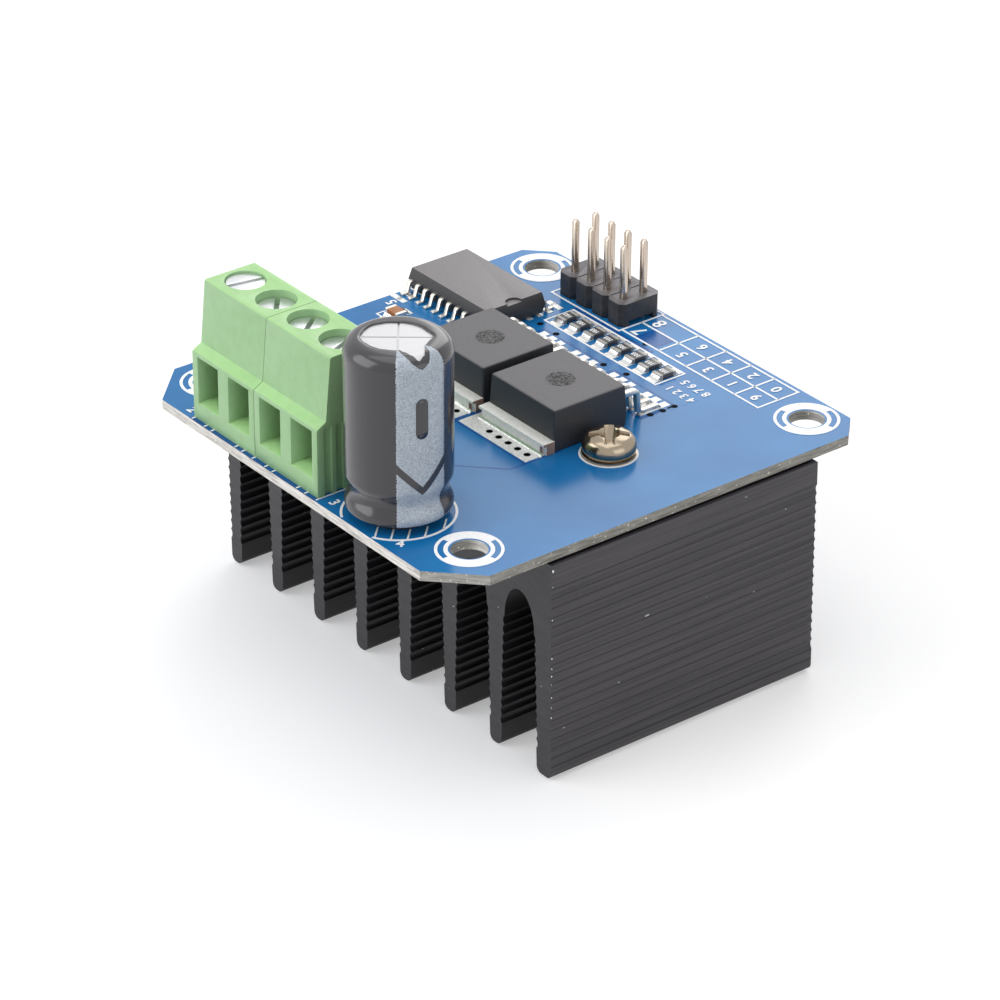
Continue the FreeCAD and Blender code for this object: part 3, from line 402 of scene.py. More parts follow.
class Print:
    # flat marks gathered in one mesh; every mark is a thin closed slab, with its underside low over the board
    def __init__(self, low, thick):
        self.low, self.thick = low, thick
        self.points, self.faces = [], []

    def slab(self, loop):
        base = len(self.points)
        n = len(loop)
        self.points += [onBoard(x, y, self.low) for x, y in loop]
        self.points += [onBoard(x, y, self.low + self.thick) for x, y in loop]
        self.faces.append(tuple(range(base + n - 1, base - 1, -1)))
        self.faces.append(tuple(range(base + n, base + 2 * n)))
        for k in range(n):
            j = (k + 1) % n
            self.faces.append((base + k, base + j, base + n + j, base + n + k))

    def area(self, x0, y0, x1, y1):
        self.slab([(x0, y0), (x1, y0), (x1, y1), (x0, y1)])

    def line(self, path, width, closed=False):
        # a stroke of even width with mitred corners
        n = len(path)
        left, right = [], []
        for k, (x, y) in enumerate(path):
            before = path[k - 1] if k or closed else None
            after = path[(k + 1) % n] if k < n - 1 or closed else None
            sides = []
            for a, b in ((before, (x, y)), ((x, y), after)):
                if a and b:
                    dx, dy = b[0] - a[0], b[1] - a[1]
                    size = math.hypot(dx, dy)
                    sides.append((-dy / size, dx / size))
            if len(sides) == 1:
                mx, my = sides[0]
                reach = width / 2
            else:
                mx, my = sides[0][0] + sides[1][0], sides[0][1] + sides[1][1]
                size = math.hypot(mx, my)
                mx, my = mx / size, my / size
                reach = width / 2 / max(0.35, mx * sides[0][0] + my * sides[0][1])
            left.append((x + mx * reach, y + my * reach))
            right.append((x - mx * reach, y - my * reach))
        for k in range(n if closed else n - 1):
            j = (k + 1) % n
            self.slab([right[k], right[j], left[j], left[k]])

    def frame(self, x0, y0, x1, y1, width):
        self.line([(x0, y0), (x1, y0), (x1, y1), (x0, y1)], width, True)

    def band(self, cx, cy, inner, outer, start=0.0, end=360.0, steps=64):
        count = max(3, int(steps * abs(end - start) / 360))
        for k in range(count):
            a = math.radians(start + (end - start) * k / count)
            b = math.radians(start + (end - start) * (k + 1) / count)
            self.slab([(cx + inner * math.cos(a), cy + inner * math.sin(a)),
                       (cx + outer * math.cos(a), cy + outer * math.sin(a)),
                       (cx + outer * math.cos(b), cy + outer * math.sin(b)),
                       (cx + inner * math.cos(b), cy + inner * math.sin(b))])

    def holed(self, x0, y0, x1, y1, cx, cy, radius, steps=24):
        # a rectangle with one round hole, as a ring of slabs
        def reach(a):
            c, s = math.cos(a), math.sin(a)
            runs = [((x1 if c > 0 else x0) - cx) / c] if abs(c) > 1e-9 else []
            runs += [((y1 if s > 0 else y0) - cy) / s] if abs(s) > 1e-9 else []
            run = min(runs)
            return cx + run * c, cy + run * s
        corners = [math.atan2(y - cy, x - cx) for x in (x0, x1) for y in (y0, y1)]
        turns = sorted(set([-math.pi + 2 * math.pi * k / steps for k in range(steps)] + corners))
        for k, a in enumerate(turns):
            b = turns[(k + 1) % len(turns)]
            self.slab([(cx + radius * math.cos(a), cy + radius * math.sin(a)), reach(a), reach(b),
                       (cx + radius * math.cos(b), cy + radius * math.sin(b))])

    def piece(self, name, material, slotName):
        meshPiece(name, self.points, self.faces, material)


# Blender's own font, its size and boldness against the height of a cap
figure = {"fontPerCap": 1.42, "boldPerCap": 0.028, "curveSteps": 3}


def numerals(name, marks, material, thick=0.016):
    # plain numerals; each mark is text, x, y, height over the board, turn and cap height in mm
    gather = bmesh.new()
    for text, x, y, h, turn, size in marks:
        curve = bpy.data.curves.new("numeral", "FONT")
        curve.body = text
        curve.size = size * figure["fontPerCap"] * mm
        curve.offset = size * figure["boldPerCap"] * mm
        curve.extrude = thick / 2 * mm
        curve.resolution_u = figure["curveSteps"]
        curve.align_x = "CENTER"
        curve.align_y = "CENTER"
        item = bpy.data.objects.new("numeral", curve)
        mesh = bpy.data.meshes.new_from_object(item)
        mesh.transform(Matrix.Translation(onBoard(x, y, h)) @ Matrix.Rotation(math.radians(turn), 4, "Z"))
        gather.from_mesh(mesh)
        bpy.data.objects.remove(item)
        bpy.data.curves.remove(curve)
        bpy.data.meshes.remove(mesh)
    bmesh.ops.remove_doubles(gather, verts=gather.verts, dist=weld)
    mesh = bpy.data.meshes.new(name)
    gather.to_mesh(mesh)
    gather.free()
    mesh.materials.clear()
    mesh.materials.append(material)
    for face in mesh.polygons:
        face.material_index = 0
    piece = bpy.data.objects.new(name, mesh)
    bpy.context.scene.collection.objects.link(piece)
    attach(piece, "root")


class Fillets:
    # concave wedges of solder, from a wall out over the pad
    toe, hollow = 0.02, 2.2  # height at the outer end in mm, and how hollow the slope is

    def __init__(self):
        self.points, self.faces = [], []

    def add(self, x, y, dx, dy, width, reach, height, flare=0.0, steps=6):
        # x, y is the middle of the wedge's foot at the wall, dx, dy the way out
        base = len(self.points)
        n = steps + 1
        for k in range(n):
            t = k / steps
            half = width / 2 + flare * t
            px, py = x + dx * reach * t, y + dy * reach * t
            h = self.toe + height * (1 - t) ** self.hollow
            for side in (-1, 1):
                for level in (0.0, h):
                    self.points.append(onBoard(px - dy * half * side, py + dx * half * side, level))
        for k in range(steps):
            a, b = base + 4 * k, base + 4 * (k + 1)
            self.faces += [(a + 1, b + 1, b + 3, a + 3), (a, a + 2, b + 2, b),
                           (a, b, b + 1, a + 1), (a + 2, a + 3, b + 3, b + 2)]
        last = base + 4 * steps
        self.faces += [(base, base + 1, base + 3, base + 2), (last, last + 2, last + 3, last + 1)]


# finishes of the nodes whose own shape is right
dress("circuit_board", maskBlue)
dress("heatsink", anodised)
dress("thermal_pad", siliconePad)
dress("heatsink_washers", nickelSteel)
dress("capacitor_leads", leadTin)
dress("capacitor_seal", sealRubber)
dress("capacitor_can", canAluminium)
dress("solder_joints", solderMetal)
for i in range(1, 5):
    dress("clamp_frame_%d" % i, clampBrass)
    dress("pressure_plate_%d" % i, zincSteel)

# edge rounding in mm: moulded and turned pieces are rounder than cut sheet and fired ceramic
rounding = {"housing": 0.12, "clampScrew": 0.12, "sinkScrew": 0.1, "buffer": 0.07, "bufferLead": 0.05,
            "tab": 0.05, "driverLead": 0.06, "header": 0.08, "pin": 0.06, "resistor": 0.04, "resistorEnd": 0.06,
            "bypass": 0.05, "bypassEnd": 0.08, "leadAngle": 40.0}
for side in ("front", "rear"):
    softCopy("terminal_housing_" + side, rounding["housing"], greenNylon)
for i in range(1, 5):
    softCopy("clamp_screw_%d" % i, rounding["clampScrew"], zincSteel, "screw_%d" % i)
softCopy("heatsink_screws", rounding["sinkScrew"], nickelSteel)
softCopy("buffer_chip_body", rounding["buffer"], bufferEpoxyLitTop)
for i in (1, 2):
    softCopy("driver_chip_%d_tab" % i, rounding["tab"], tabTin)
    softCopy("driver_chip_%d_leads" % i, rounding["driverLead"], leadTin, angle=rounding["leadAngle"])
softCopy("buffer_chip_leads", rounding["bufferLead"], leadTin, angle=rounding["leadAngle"])
softCopy("header_housing", rounding["header"], blackPolyester)
softCopy("header_pins", rounding["pin"], pinPlate)
for i in range(1, 9):
    softCopy("resistor_%d_body" % i, rounding["resistor"], glaze)
    softCopy("resistor_%d_ends" % i, rounding["resistorEnd"], endTin)
softCopy("bypass_capacitor_body", rounding["bypass"], tanCeramic)
softCopy("bypass_capacitor_ends", rounding["bypassEnd"], leadTin)
print("stage: pieces from the nodes")

# power chip bodies: one moulded block each, widest at the parting line, with the ejector pin's mark
driver = {"parting": 1.35, "draft": 0.05, "edge": 0.16, "markDiameter": 2.85, "markShift": (0.2, -0.1),
          "markLow": -0.02, "markThick": 0.03}
for i in (1, 2):
    name = "driver_chip_%d_body" % i
    low, high = [Vector(p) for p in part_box(name)]
    levels = (0.0, driver["parting"] * mm, high.z - low.z)
    points = []
    for level in levels:
        shrink = driver["draft"] * abs(level - levels[1])
        for x, y in ((low.x, low.y), (high.x, low.y), (high.x, high.y), (low.x, high.y)):
            sx = shrink if x == low.x else -shrink
            sy = shrink if y == low.y else -shrink
            points.append((x + sx, y + sy, low.z + level))
    faces = [(3, 2, 1, 0), (8, 9, 10, 11)]
    for base in (0, 4):
        for k in range(4):
            j = (k + 1) % 4
            faces.append((base + k, base + j, base + 4 + j, base + 4 + k))
    roundEdges(meshPiece(name + "_moulded", points, faces, epoxy, stands=(name,)), driver["edge"], 3, 20.0)
    middle = (low + high) / 2
    cx = middle.x / mm - board["x"] + driver["markShift"][0]
    cy = middle.y / mm - board["y"] + driver["markShift"][1]
    mark = Print(high.z / mm - board["top"] + driver["markLow"], driver["markThick"])
    mark.slab(circle(cx, cy, driver["markDiameter"] / 2, 48))
    mark.piece("driver_mark_%d" % i, roughEpoxy, "black_epoxy")
print("stage: power chips")

# capacitor sleeve: film shrunk over the can, with a neck by the seal and a rolled rim on top; the rim is
# given as degrees round the can and the radius at which the film is cut there
sleeve = {"x": 5.11, "y": 14.37, "radius": 5.1, "bottom": 0.85, "footInner": 3.6, "footRound": 0.5,
          "top": 18.1, "shoulder": 1.5, "opening": 3.3, "film": 0.13, "turns": 144,
          "neckDepth": 0.52, "neckHeight": 3.0, "neckHalf": 1.6, "under": 0.03, "rimReach": 2.2,
          "rim": ((-164, 2.96), (-147, 2.8), (-125, 2.79), (-116, 3.26), (-109, 3.94), (-103, 4.62),
                  (-94, 4.29), (-85, 3.62), (-74, 3.02), (-57, 2.92), (-38, 3.18), (-11, 2.78), (16, 2.73),
                  (57, 2.77), (79, 2.98), (104, 3.24), (127, 3.28), (146, 3.44), (156, 3.35), (174, 3.11))}


def sleeveOutline():
    r, s = sleeve["radius"], sleeve
    neckTop, wallTop = s["neckHeight"] + s["neckHalf"], s["top"] - s["shoulder"]
    path = [(s["footInner"], s["bottom"]), (r - s["footRound"], s["bottom"])]
    for k in range(1, 9):
        a = math.radians(-90 + 90 * k / 8)
        path.append((r - s["footRound"] * (1 - math.cos(a)),
                     s["bottom"] + s["footRound"] * (1 + math.sin(a))))
    for k in range(1, 25):
        z = neckTop - 2 * s["neckHalf"] * (1 - k / 24)
        pull = s["neckDepth"] * math.cos(math.pi / 2 * (z - s["neckHeight"]) / s["neckHalf"]) ** 2
        path.append((r - pull, z))
    for k in range(1, 7):
        path.append((r, neckTop + (wallTop - neckTop) * k / 6))
    for k in range(1, 13):
        a = math.radians(90 * k / 12)
        path.append((r - s["shoulder"] * (1 - math.cos(a)), wallTop + s["shoulder"] * math.sin(a)))
    path.append((s["opening"], s["top"]))
    return path


outline = sleeveOutline()
runs = [0.0]
for a, b in zip(outline, outline[1:]):
    runs.append(runs[-1] + math.hypot(b[0] - a[0], b[1] - a[1]))


def outlineAt(run):
    # radius, height and outward direction at a length along the outline
    run = min(max(run, 0.0), runs[-1])
    k = next(i for i in range(len(runs) - 1) if run <= runs[i + 1] + 1e-9)
    t = (run - runs[k]) / (runs[k + 1] - runs[k])
    a, b = outline[k], outline[k + 1]
    size = runs[k + 1] - runs[k]
    return a[0] + (b[0] - a[0]) * t, a[1] + (b[1] - a[1]) * t, (b[1] - a[1]) / size, -(b[0] - a[0]) / size


def runAtHeight(z):
    heights = [point[1] for point in outline]
    k = next(i for i in range(1, len(heights) - 1) if heights[i] <= z <= heights[i + 1] > heights[i])
    return runs[k] + (runs[k + 1] - runs[k]) * (z - heights[k]) / (heights[k + 1] - heights[k])


def rimCut(degrees):
    # how much longer or shorter the film is cut there than the plain opening; one notch is torn in it
    rim = sleeve["rim"]
    k = next((i for i, (turn, r) in enumerate(rim) if turn > degrees), 0)
    (before, low), (after, high) = rim[k - 1], rim[k]
    t = (degrees - before) % 360 / ((after - before) % 360)
    r = low + (high - low) * t * t * (3 - 2 * t)
    flat = sleeve["radius"] - sleeve["shoulder"]
    if r <= flat:
        return r - sleeve["opening"]
    return flat - sleeve["opening"] + sleeve["shoulder"] * math.asin((r - flat) / sleeve["shoulder"])


def onSleeve(degrees, run, lift=0.0):
    start = runs[-1] - sleeve["rimReach"]
    if run > start:
        run = start + (run - start) * (sleeve["rimReach"] - rimCut(degrees)) / sleeve["rimReach"]
    r, z, outR, outZ = outlineAt(run)
    lift -= sleeve["under"]  # so that the printed areas stay inside the sleeve's own size
    r += outR * lift - max(0.0, run - runs[-1])
    a = math.radians(degrees)
    return onBoard(sleeve["x"] + r * math.cos(a), sleeve["y"] + r * math.sin(a), z + outZ * lift)


points, faces = [], []
inward = [(run, -sleeve["film"]) for run in reversed(runs[1:])]
stations = [(run, 0.0) for run in runs] + inward
count = len(stations)
for step in range(sleeve["turns"]):
    degrees = 360 * step / sleeve["turns"]
    degrees = degrees - 360 if degrees > 180 else degrees
    points += [onSleeve(degrees, run, lift) for run, lift in stations]
for step in range(sleeve["turns"]):
    near, far = step * count, (step + 1) % sleeve["turns"] * count
    for k in range(count):
        n = (k + 1) % count
        faces.append((near + k, far + k, far + n, near + n))
meshPiece("capacitor_sleeve_film", points, faces, sleeveFilm, stands=("capacitor_sleeve",), smooth=True)


def sleevePatch(name, place, rows, columns, lift, material):
    # printed area: place(u, v) gives the angle and the length along the outline
    points = []
    for height in (lift, lift - stripe["thick"]):
        for i in range(rows + 1):
            points += [onSleeve(*place(j / columns, i / rows), height) for j in range(columns + 1)]
    size = (rows + 1) * (columns + 1)
    faces = gridFaces(rows, columns) + gridFaces(rows, columns, size, True)
    step = columns + 1
    rim = list(range(columns)) + [i * step + columns for i in range(rows)]
    rim += [rows * step + j for j in range(columns, 0, -1)] + [i * step for i in range(rows, 0, -1)]
    for k, a in enumerate(rim):
        b = rim[(k + 1) % len(rim)]
        faces.append((b, a, a + size, b + size))
    meshPiece(name, points, faces, material, smooth=True)


# printed stripe with its minus mark and arrows, in degrees round the can and mm of height
stripe = {"from": -129.8, "to": -72.6, "foot": 0.97, "toothMm": 0.3, "toothDegrees": 1.5,
          "dash": (-108.9, -95.2, 10.0, 14.1), "notch": (-126.6, -101.2, -77.0, 17.0),
          "band": ((-129.8, 6.72, 7.68), (-101.7, 4.2, 5.06), (-72.6, 6.7, 7.75)),
          "lift": 0.012, "markLift": 0.026, "thick": 0.03}
random.seed(11)
footRun, topRun = runAtHeight(stripe["foot"]), runs[-1]
toothCount = int((topRun - footRun) / stripe["toothMm"])
teeth = [[random.uniform(0.2, 1.0) for k in range(toothCount + 2)] for side in (0, 1)]


def stripePlace(u, v):
    # rows fall on the tips and hollows of the teeth in turn
    run = footRun + (topRun - footRun) * v
    k = v * toothCount * 2
    reach = stripe["toothDegrees"] * (1 if round(k) % 2 else 0)
    left = stripe["from"] + reach * teeth[0][int(k / 2)]
    right = stripe["to"] - reach * teeth[1][int(k / 2)]
    return left + (right - left) * u, run


sleevePatch("capacitor_stripe", stripePlace, toothCount * 2, 24, stripe["lift"], sleeveInk)


def dashPlace(u, v):
    left, right, low, high = stripe["dash"]
    middle, half = (left + right) / 2, (right - left) / 2
    roundMm = math.radians(half) * sleeve["radius"]
    side = 2 * u - 1
    cut = roundMm * (1 - math.sqrt(max(0.0, 1 - side * side)))
    z = low + cut + (high - low - 2 * cut) * v
    return middle + half * side, runAtHeight(z)


def bandPlace(u, v):
    left, tip, right = stripe["band"]
    a, b, t = (left, tip, u * 2) if u < 0.5 else (tip, right, u * 2 - 1)
    low, high = a[1] + (b[1] - a[1]) * t, a[2] + (b[2] - a[2]) * t
    return a[0] + (b[0] - a[0]) * t, runAtHeight(low + (high - low) * v)


def notchPlace(u, v):
    left, tip, right, z = stripe["notch"]
    a, t = (left, u * 2) if u < 0.5 else (right, 2 - u * 2)
    low = topRun - max(0.02, t) * (topRun - runAtHeight(z))
    return a + (tip - a) * t, low + (topRun - low) * v


sleevePatch("capacitor_minus_mark", dashPlace, 6, 24, stripe["markLift"], sleeveFilm)
sleevePatch("capacitor_arrow_band", bandPlace, 12, 48, stripe["markLift"], sleeveFilm)
sleevePatch("capacitor_arrow_notch", notchPlace, 12, 40, stripe["markLift"], sleeveFilm)
print("stage: capacitor")

driverY = (19.2, 30.1)  # middles of the two power chips

# etched gaps in the copper, seen through the mask as darker lines and patches; boxes are x0, y0, x1, y1
gaps = {"track": ((14.2, 18.2), (18.1, 14.3), (19.7, 14.3)), "trackWidth": 0.2,
        "frames": ((19.75, -4.9, 24.0, 5.8, 0.22), (34.0, -4.6, 38.3, 4.6, 0.25)),  # round the tab, the feet
        "patches": ((43.32, 24.4, 43.82, 36.5), (44.4, 24.9, 46.8, 28.0), (0.0, 20.7, 0.5, 41.0))}
bare = Print(-0.02, 0.032)
bare.line(gaps["track"], gaps["trackWidth"])
for cy in driverY:
    for x0, y0, x1, y1, width in gaps["frames"]:
        bare.frame(x0, cy + y0, x1, cy + y1, width)
for patch in gaps["patches"]:
    bare.area(*patch)
bare.piece("etched_gaps", maskOnBare, "blue_solder_mask")

# white print
ink = Print(0.0, 0.05)
rings = {"x": (5.9, 46.54), "y": (4.87, 45.51), "inner": 1.95, "windowInner": 2.35, "windowOuter": 2.9,
         "outer": 3.2, "solid": ((-2, 106), (178, 286)), "screws": ((27.24, 11.12), (22.54, 39.36)),
         "screwInner": 2.64, "screwOuter": 2.84}
for hx in rings["x"]:
    for hy in rings["y"]:
        ink.band(hx, hy, rings["inner"], rings["windowInner"])
        ink.band(hx, hy, rings["windowOuter"], rings["outer"])
        for start, end in rings["solid"]:
            ink.band(hx, hy, rings["windowInner"], rings["windowOuter"], start, end)
# open ring round the capacitor, hatched at 45 degrees in the half away from the terminals
canRing = {"x": 5.0, "y": 14.27, "inner": 5.2, "outer": 5.44, "open": 154,
           "hatchStep": 1.5, "hatchLong": 1.9, "hatchRadius": 5.25, "hatchWidth": 0.17}
cx, cy, end = canRing["x"], canRing["y"], canRing["open"]
ink.band(cx, cy, canRing["inner"], canRing["outer"], -end, end, 120)
for k in range(-3, 4):
    shift = k * canRing["hatchStep"]
    start = -math.sqrt(canRing["hatchRadius"] ** 2 - shift ** 2)
    path = [((t - shift) / math.sqrt(2), (t + shift) / math.sqrt(2))
            for t in (start, start + canRing["hatchLong"])]
    if all(y < 0.4 and cx + x > 0.15 for x, y in path):  # on the board, clear of the terminals
        ink.line([(cx + x, cy + y) for x, y in path], canRing["hatchWidth"])
for cx, cy in rings["screws"]:
    ink.band(cx, cy, rings["screwInner"], rings["screwOuter"], 0, 360, 72)
# resistor strip, header box and pin table
lines = {"strip": (39.5, 19.0, 43.2, 36.2), "header": (43.9, 29.95, 49.7, 40.6), "width": 0.2,
         "table": (44.3, 9.4, 49.45, 29.95), "column": 46.88, "rows": (12.87, 16.38, 20.13, 24.27)}
for part in ("strip", "header"):
    ink.frame(*lines[part], lines["width"])
x0, y0, x1, y1 = lines["table"]
drop = lines["width"] / 2  # the header's frame closes the fourth side
ink.line([(x0, y1 - drop), (x0, y0), (x1, y0), (x1, y1 - drop)], lines["width"])
ink.line([(lines["column"], y0), (lines["column"], y1)], lines["width"])
for y in lines["rows"]:
    ink.line([(x0, y), (x1, y)], lines["width"])
# short strokes in front of the terminals, the line beside them, and the bracket of the small capacitor
strokes = {"ticks": (22.28, 23.57, 27.46, 28.67, 30.69, 32.38, 33.52, 37.44, 38.57, 40.61),
           "tickX": (0.08, 0.5), "tickWidth": 0.16, "beside": ((0.2, 20.62), (9.6, 20.62)), "besideWidth": 0.14,
           "bracket": ((27.1, 46.4), (27.1, 47.45), (29.66, 47.45), (29.66, 46.4)), "bracketWidth": 0.15}
for y in strokes["ticks"]:
    ink.line([(x, y) for x in strokes["tickX"]], strokes["tickWidth"])
for part in ("beside", "bracket"):
    ink.line(strokes[part], strokes[part + "Width"])
ink.piece("board_print", printInk, "blue_solder_mask")

# numerals: text, x, y, turn and cap height, then the table's two columns, and the eight by the resistors as
# first x and its step from row to row, first y and its step along a row
labels = {"height": 0.04, "big": (("8", 48.1, 28.6, 90, 1.5), ("7", 45.5, 28.6, 90, 1.5)),
          "edge": (("3", 1.25, 19.2, -90, 1.1), ("2", 1.1, 42.0, -90, 1.1), ("4", 1.5, 9.4, -45, 1.1),
                   ("5", 29.8, 48.6, 90, 1.1)),
          "tableX": (45.6, 48.2), "tableY": (22.2, 18.25, 14.6, 11.1), "table": ("5319", "6420"),
          "tableCap": 1.2, "count": (40.2, 1.9, 17.6, -1.05), "countCap": 0.95}
marks = list(labels["big"])
for x, column in zip(labels["tableX"], labels["table"]):
    marks += [(text, x, y, 90, labels["tableCap"]) for text, y in zip(column, labels["tableY"])]
marks += labels["edge"]
x, stepX, y, stepY = labels["count"]
for k in range(8):
    marks.append((str(k + 1), x + k // 4 * stepX, y + k % 4 * stepY, 90, labels["countCap"]))
marks = [(text, x, y, labels["height"], turn, size) for text, x, y, turn, size in marks]
numerals("board_numerals", marks, printInk)
print("stage: print")

# bright pads, and the solder wedges on them: width, reach, height and flare in mm
wedges = {"tab": (9.7, 0.36, 0.32), "foot": (0.62, 0.55, 0.42, 0.04), "footSide": (1.7, 0.12, 0.4),
          "bufferToe": (0.5, 0.7, 0.2, 0.03), "resistor": (1.15, 0.62, 0.42, 0.06),
          "bypass": (1.1, 0.5, 0.5, 0.05)}
pads = Print(-0.02, 0.06)
solder = Fillets()
tabPad = {"x": (19.95, 23.6), "y": (-4.7, 5.6), "edgeX": 21.9, "splitX": 21.55, "viaX": 21.0,
          "viaFrom": -3.63, "viaStep": 1.44, "viaRadius": 0.36}
feet = {"legs": (-3, -2, -1, 1, 2, 3), "pitch": 1.27, "x": (34.3, 38.0), "half": 0.42, "toe": 36.7,
        "side": (35.7, 0.28)}
for cy in driverY:
    edge, split = tabPad["x"][0], tabPad["splitX"]  # the holed strip and the plain pad beside it
    low, high = cy + tabPad["y"][0], cy + tabPad["y"][1]
    pads.area(split, low, tabPad["x"][1], high)
    start = low
    for k in range(5):
        y = cy + tabPad["viaFrom"] + tabPad["viaStep"] * k
        end = y + tabPad["viaStep"] / 2
        pads.holed(edge, start, split, end, tabPad["viaX"], y, tabPad["viaRadius"])
        start = end
    pads.area(edge, start, split, high)
    # tab fillet, then the six feet on their pads
    solder.add(tabPad["edgeX"], cy, -1, 0, *wedges["tab"])
    for k in feet["legs"]:
        y = cy + k * feet["pitch"]
        pads.area(feet["x"][0], y - feet["half"], feet["x"][1], y + feet["half"])
        solder.add(feet["toe"], y, 1, 0, *wedges["foot"])
        for side in (-1, 1):
            solder.add(feet["side"][0], y + side * feet["side"][1], 0, side, *wedges["footSide"])
buffer = {"x": 36.6, "y": 43.5, "pitch": 1.27, "toe": 5.13, "pad": (4.25, 6.4), "half": 0.325}
for k in range(10):
    x = buffer["x"] + (k - 4.5) * buffer["pitch"]
    for side in (-1, 1):
        y0, y1 = sorted(buffer["y"] + side * reach for reach in buffer["pad"])
        pads.area(x - buffer["half"], y0, x + buffer["half"], y1)
        solder.add(x, buffer["y"] + side * buffer["toe"], 0, side, *wedges["bufferToe"])
chip = {"x": 41.4, "first": 19.98, "pitch": 2.13, "pad": (0.7, 1.75), "half": 0.68, "wall": 0.97,
        "top": 0.515, "value": "103", "cap": 0.5}  # the last three are for its numeral
for k in range(8):
    y = chip["first"] + k * chip["pitch"]
    for side in (-1, 1):
        x0, x1 = sorted(chip["x"] + side * reach for reach in chip["pad"])
        pads.area(x0, y - chip["half"], x1, y + chip["half"])
        solder.add(chip["x"] + side * chip["wall"], y, side, 0, *wedges["resistor"])
bypass = {"x": 28.4, "y": 46.0, "pad": (0.7, 1.65), "half": 0.65, "wall": 0.97}
for side in (-1, 1):
    x0, x1 = sorted(bypass["x"] + side * reach for reach in bypass["pad"])
    pads.area(x0, bypass["y"] - bypass["half"], x1, bypass["y"] + bypass["half"])
    solder.add(bypass["x"] + side * bypass["wall"], bypass["y"], side, 0, *wedges["bypass"])
pads.piece("tinned_pads", tinnedPad, "solder")
meshPiece("solder_fillets", solder.points, solder.faces, solderMetal)

# plated barrels of the small holes, painted dark as the shade inside them
barrels = {"outer": 0.345, "inner": 0.3, "low": -0.98, "high": 0.01, "turns": 20, "byHeader": (44.24, 26.18)}
viaPlaces = [(tabPad["viaX"], cy + tabPad["viaFrom"] + tabPad["viaStep"] * k)
             for cy in driverY for k in range(5)] + [barrels["byHeader"]]
points, faces = [], []
for x, y in viaPlaces:
    base = len(points)
    for k in range(barrels["turns"]):
        a = 2 * math.pi * k / barrels["turns"]
        for r, h in (("inner", "low"), ("outer", "low"), ("outer", "high"), ("inner", "high")):
            points.append(onBoard(x + barrels[r] * math.cos(a), y + barrels[r] * math.sin(a), barrels[h]))
    for k in range(barrels["turns"]):
        near, far = base + 4 * k, base + (k + 1) % barrels["turns"] * 4
        for i in range(4):
            j = (i + 1) % 4
            faces.append((near + i, far + i, far + j, near + j))
meshPiece("via_barrels", points, faces, barrelPaintedShade)

# seven small holes stand too far along in the CAD board: mask closes them there, and dark spots stand where
# they should be, as painted shade for the holes; radius and thickness come first
smallHoles = {
    "closed_holes": (0.41, 0.032, ((37.75, 14.47), (39.23, 14.47), (40.71, 14.47), (41.21, 22.33),
                                   (40.72, 25.28), (41.11, 33.32), (41.17, 36.0))),
    "small_hole_shade_spots": (0.34, 0.036, ((38.14, 14.52), (36.71, 14.53), (35.23, 14.62), (38.68, 22.42),
                                       (38.17, 25.3), (38.56, 33.2), (38.69, 35.87)))}
for (name, (radius, thick, places)), material in zip(smallHoles.items(), (maskBlue, barrelPaintedShade)):
    spots = Print(-0.02, thick)
    for x, y in places:
        spots.slab(circle(x, y, radius, 24))
    spots.piece(name, material, "blue_solder_mask")

values = [(chip["value"], chip["x"], chip["first"] + k * chip["pitch"], chip["top"], 90, chip["cap"])
          for k in range(8)]
numerals("resistor_numerals", values, printInk, 0.02)
print("stage: pads and solder")

# chips on the heatsink's near corner, where the black skin is gone: flakes of six corners at random reaches
chips = {"x": 11.26, "y": -0.57, "under": 1.2,  # spots: height from the heatsink's top, size
         "spots": ((-0.55, 0.5), (-2.2, 0.2), (-5.7, 0.25), (-9.8, 0.3), (-10.9, 0.22), (-11.7, 0.3),
                   (-12.6, 0.2), (-14.0, 0.25), (-15.1, 0.22), (-16.2, 0.3))}
random.seed(5)
points, faces = [], []
for z, size in chips["spots"]:
    base = len(points)
    at = onBoard(chips["x"], chips["y"], z - chips["under"])
    for corner in ((1, 0, 0), (-0.12, 0, 0), (0, 0.7, 0), (0, -0.12, 0), (0, 0, 1.2), (0, 0, -1.1)):
        points.append(at + Vector(c * size * random.uniform(0.25, 0.4) for c in corner) * mm)
    for a, b, c in ((0, 2, 4), (2, 1, 4), (1, 3, 4), (3, 0, 4), (2, 0, 5), (1, 2, 5), (3, 1, 5), (0, 3, 5)):
        faces.append((base + a, base + b, base + c))
meshPiece("heatsink_edge_chips", points, faces, bareChip)
print("stage: wear")


def straightRays(material):
    # 1 for camera, glossy and transmission rays, so that metal shows the pale stage as the camera does
    rays = addNode(material, "ShaderNodeLightPath").outputs
    seen = addNode(material, "ShaderNodeMath", {"operation": "MAXIMUM"},
                   {0: rays["Is Camera Ray"], 1: rays["Is Glossy Ray"]})
    return addNode(material, "ShaderNodeMath", {"operation": "MAXIMUM"},
                   {0: seen.outputs[0], 1: rays["Is Transmission Ray"]}).outputs[0]


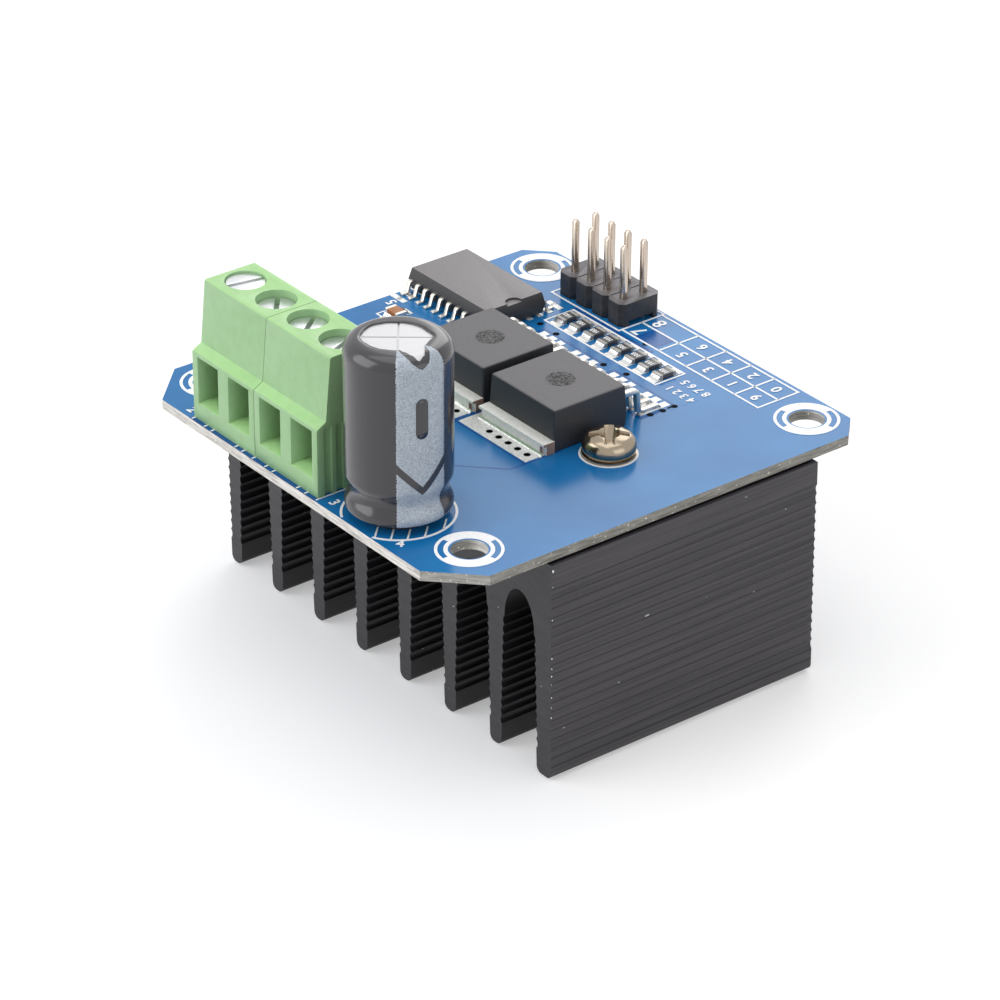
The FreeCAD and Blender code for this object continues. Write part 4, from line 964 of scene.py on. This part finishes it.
# stage, light and camera
stageSet = {"floor": "dbdbdc", "floorGlow": 0.36, "world": 0.55}
bpy.ops.mesh.primitive_plane_add(size=6.0, location=(0, 0, -0.0002))
floor = bpy.context.object
floor.name = "paleFloor"
floorPaint, shader = newMaterial("paleFloorPaint", stageSet["floor"], 0.9)
grain(floorPaint, shader, 0.2, 0.05, 0.1)
glow = addNode(floorPaint, "ShaderNodeMath", {"operation": "MULTIPLY", 1: stageSet["floorGlow"]},
               {0: straightRays(floorPaint)})
shader.inputs["Emission Color"].default_value = (1, 1, 1, 1)
floorPaint.node_tree.links.new(glow.outputs[0], shader.inputs["Emission Strength"])
floor.data.materials.append(floorPaint)

world = bpy.data.worlds.new("softStudio")
world.use_nodes = True
strength = spread(world, straightRays(world), 0.0, 1.0, stageSet["world"], 1.0)
world.node_tree.nodes["Background"].inputs[0].default_value = (1, 1, 1, 1)
world.node_tree.links.new(strength, world.node_tree.nodes["Background"].inputs[1])
bpy.context.scene.world = world


def softbox(name, place, target, size, power):
    data = bpy.data.lights.new(name, "AREA")
    data.energy = power
    data.shape = "RECTANGLE"
    data.size, data.size_y = size
    lamp = bpy.data.objects.new(name, data)
    bpy.context.scene.collection.objects.link(lamp)
    lamp.location = place
    aim = Vector(target) - Vector(place)
    lamp.rotation_euler = aim.to_track_quat("-Z", "Y").to_euler()


# place and target in metres, width and height, watts
softboxes = {"leftSoftbox": ((-0.5, 0.25, 0.3), (0, 0, 0.02), (0.5, 0.5), 1.9),
             "topSoftbox": ((0.0, 0.05, 0.7), (0, 0, 0.02), (0.6, 0.6), 1.4),
             "frontSoftbox": ((0.05, -0.65, 0.3), (0, 0, 0.02), (0.5, 0.4), 0.6),
             "rightBackSoftbox": ((0.32, 0.225, 0.24), (0.01, 0.0, 0.024), (0.25, 0.3), 0.45)}
for name, settings in softboxes.items():
    softbox(name, *settings)

# fitted to the photograph's view of the board: millimetres of focal length, metres and degrees
lens = {"focal": 160.267, "sensor": 36.0, "place": (-0.231963, -0.296212, 0.226395),
        "turn": (60.49697, -0.27145, -37.96961)}
cameraData = bpy.data.cameras.new("photoCamera")
cameraData.lens = lens["focal"]
cameraData.sensor_width = lens["sensor"]
camera = bpy.data.objects.new("photoCamera", cameraData)
bpy.context.scene.collection.objects.link(camera)
camera.location = lens["place"]
camera.rotation_euler = [math.radians(v) for v in lens["turn"]]
bpy.context.scene.camera = camera
bpy.context.scene.view_settings.view_transform = "Standard"
print("stage: camera")
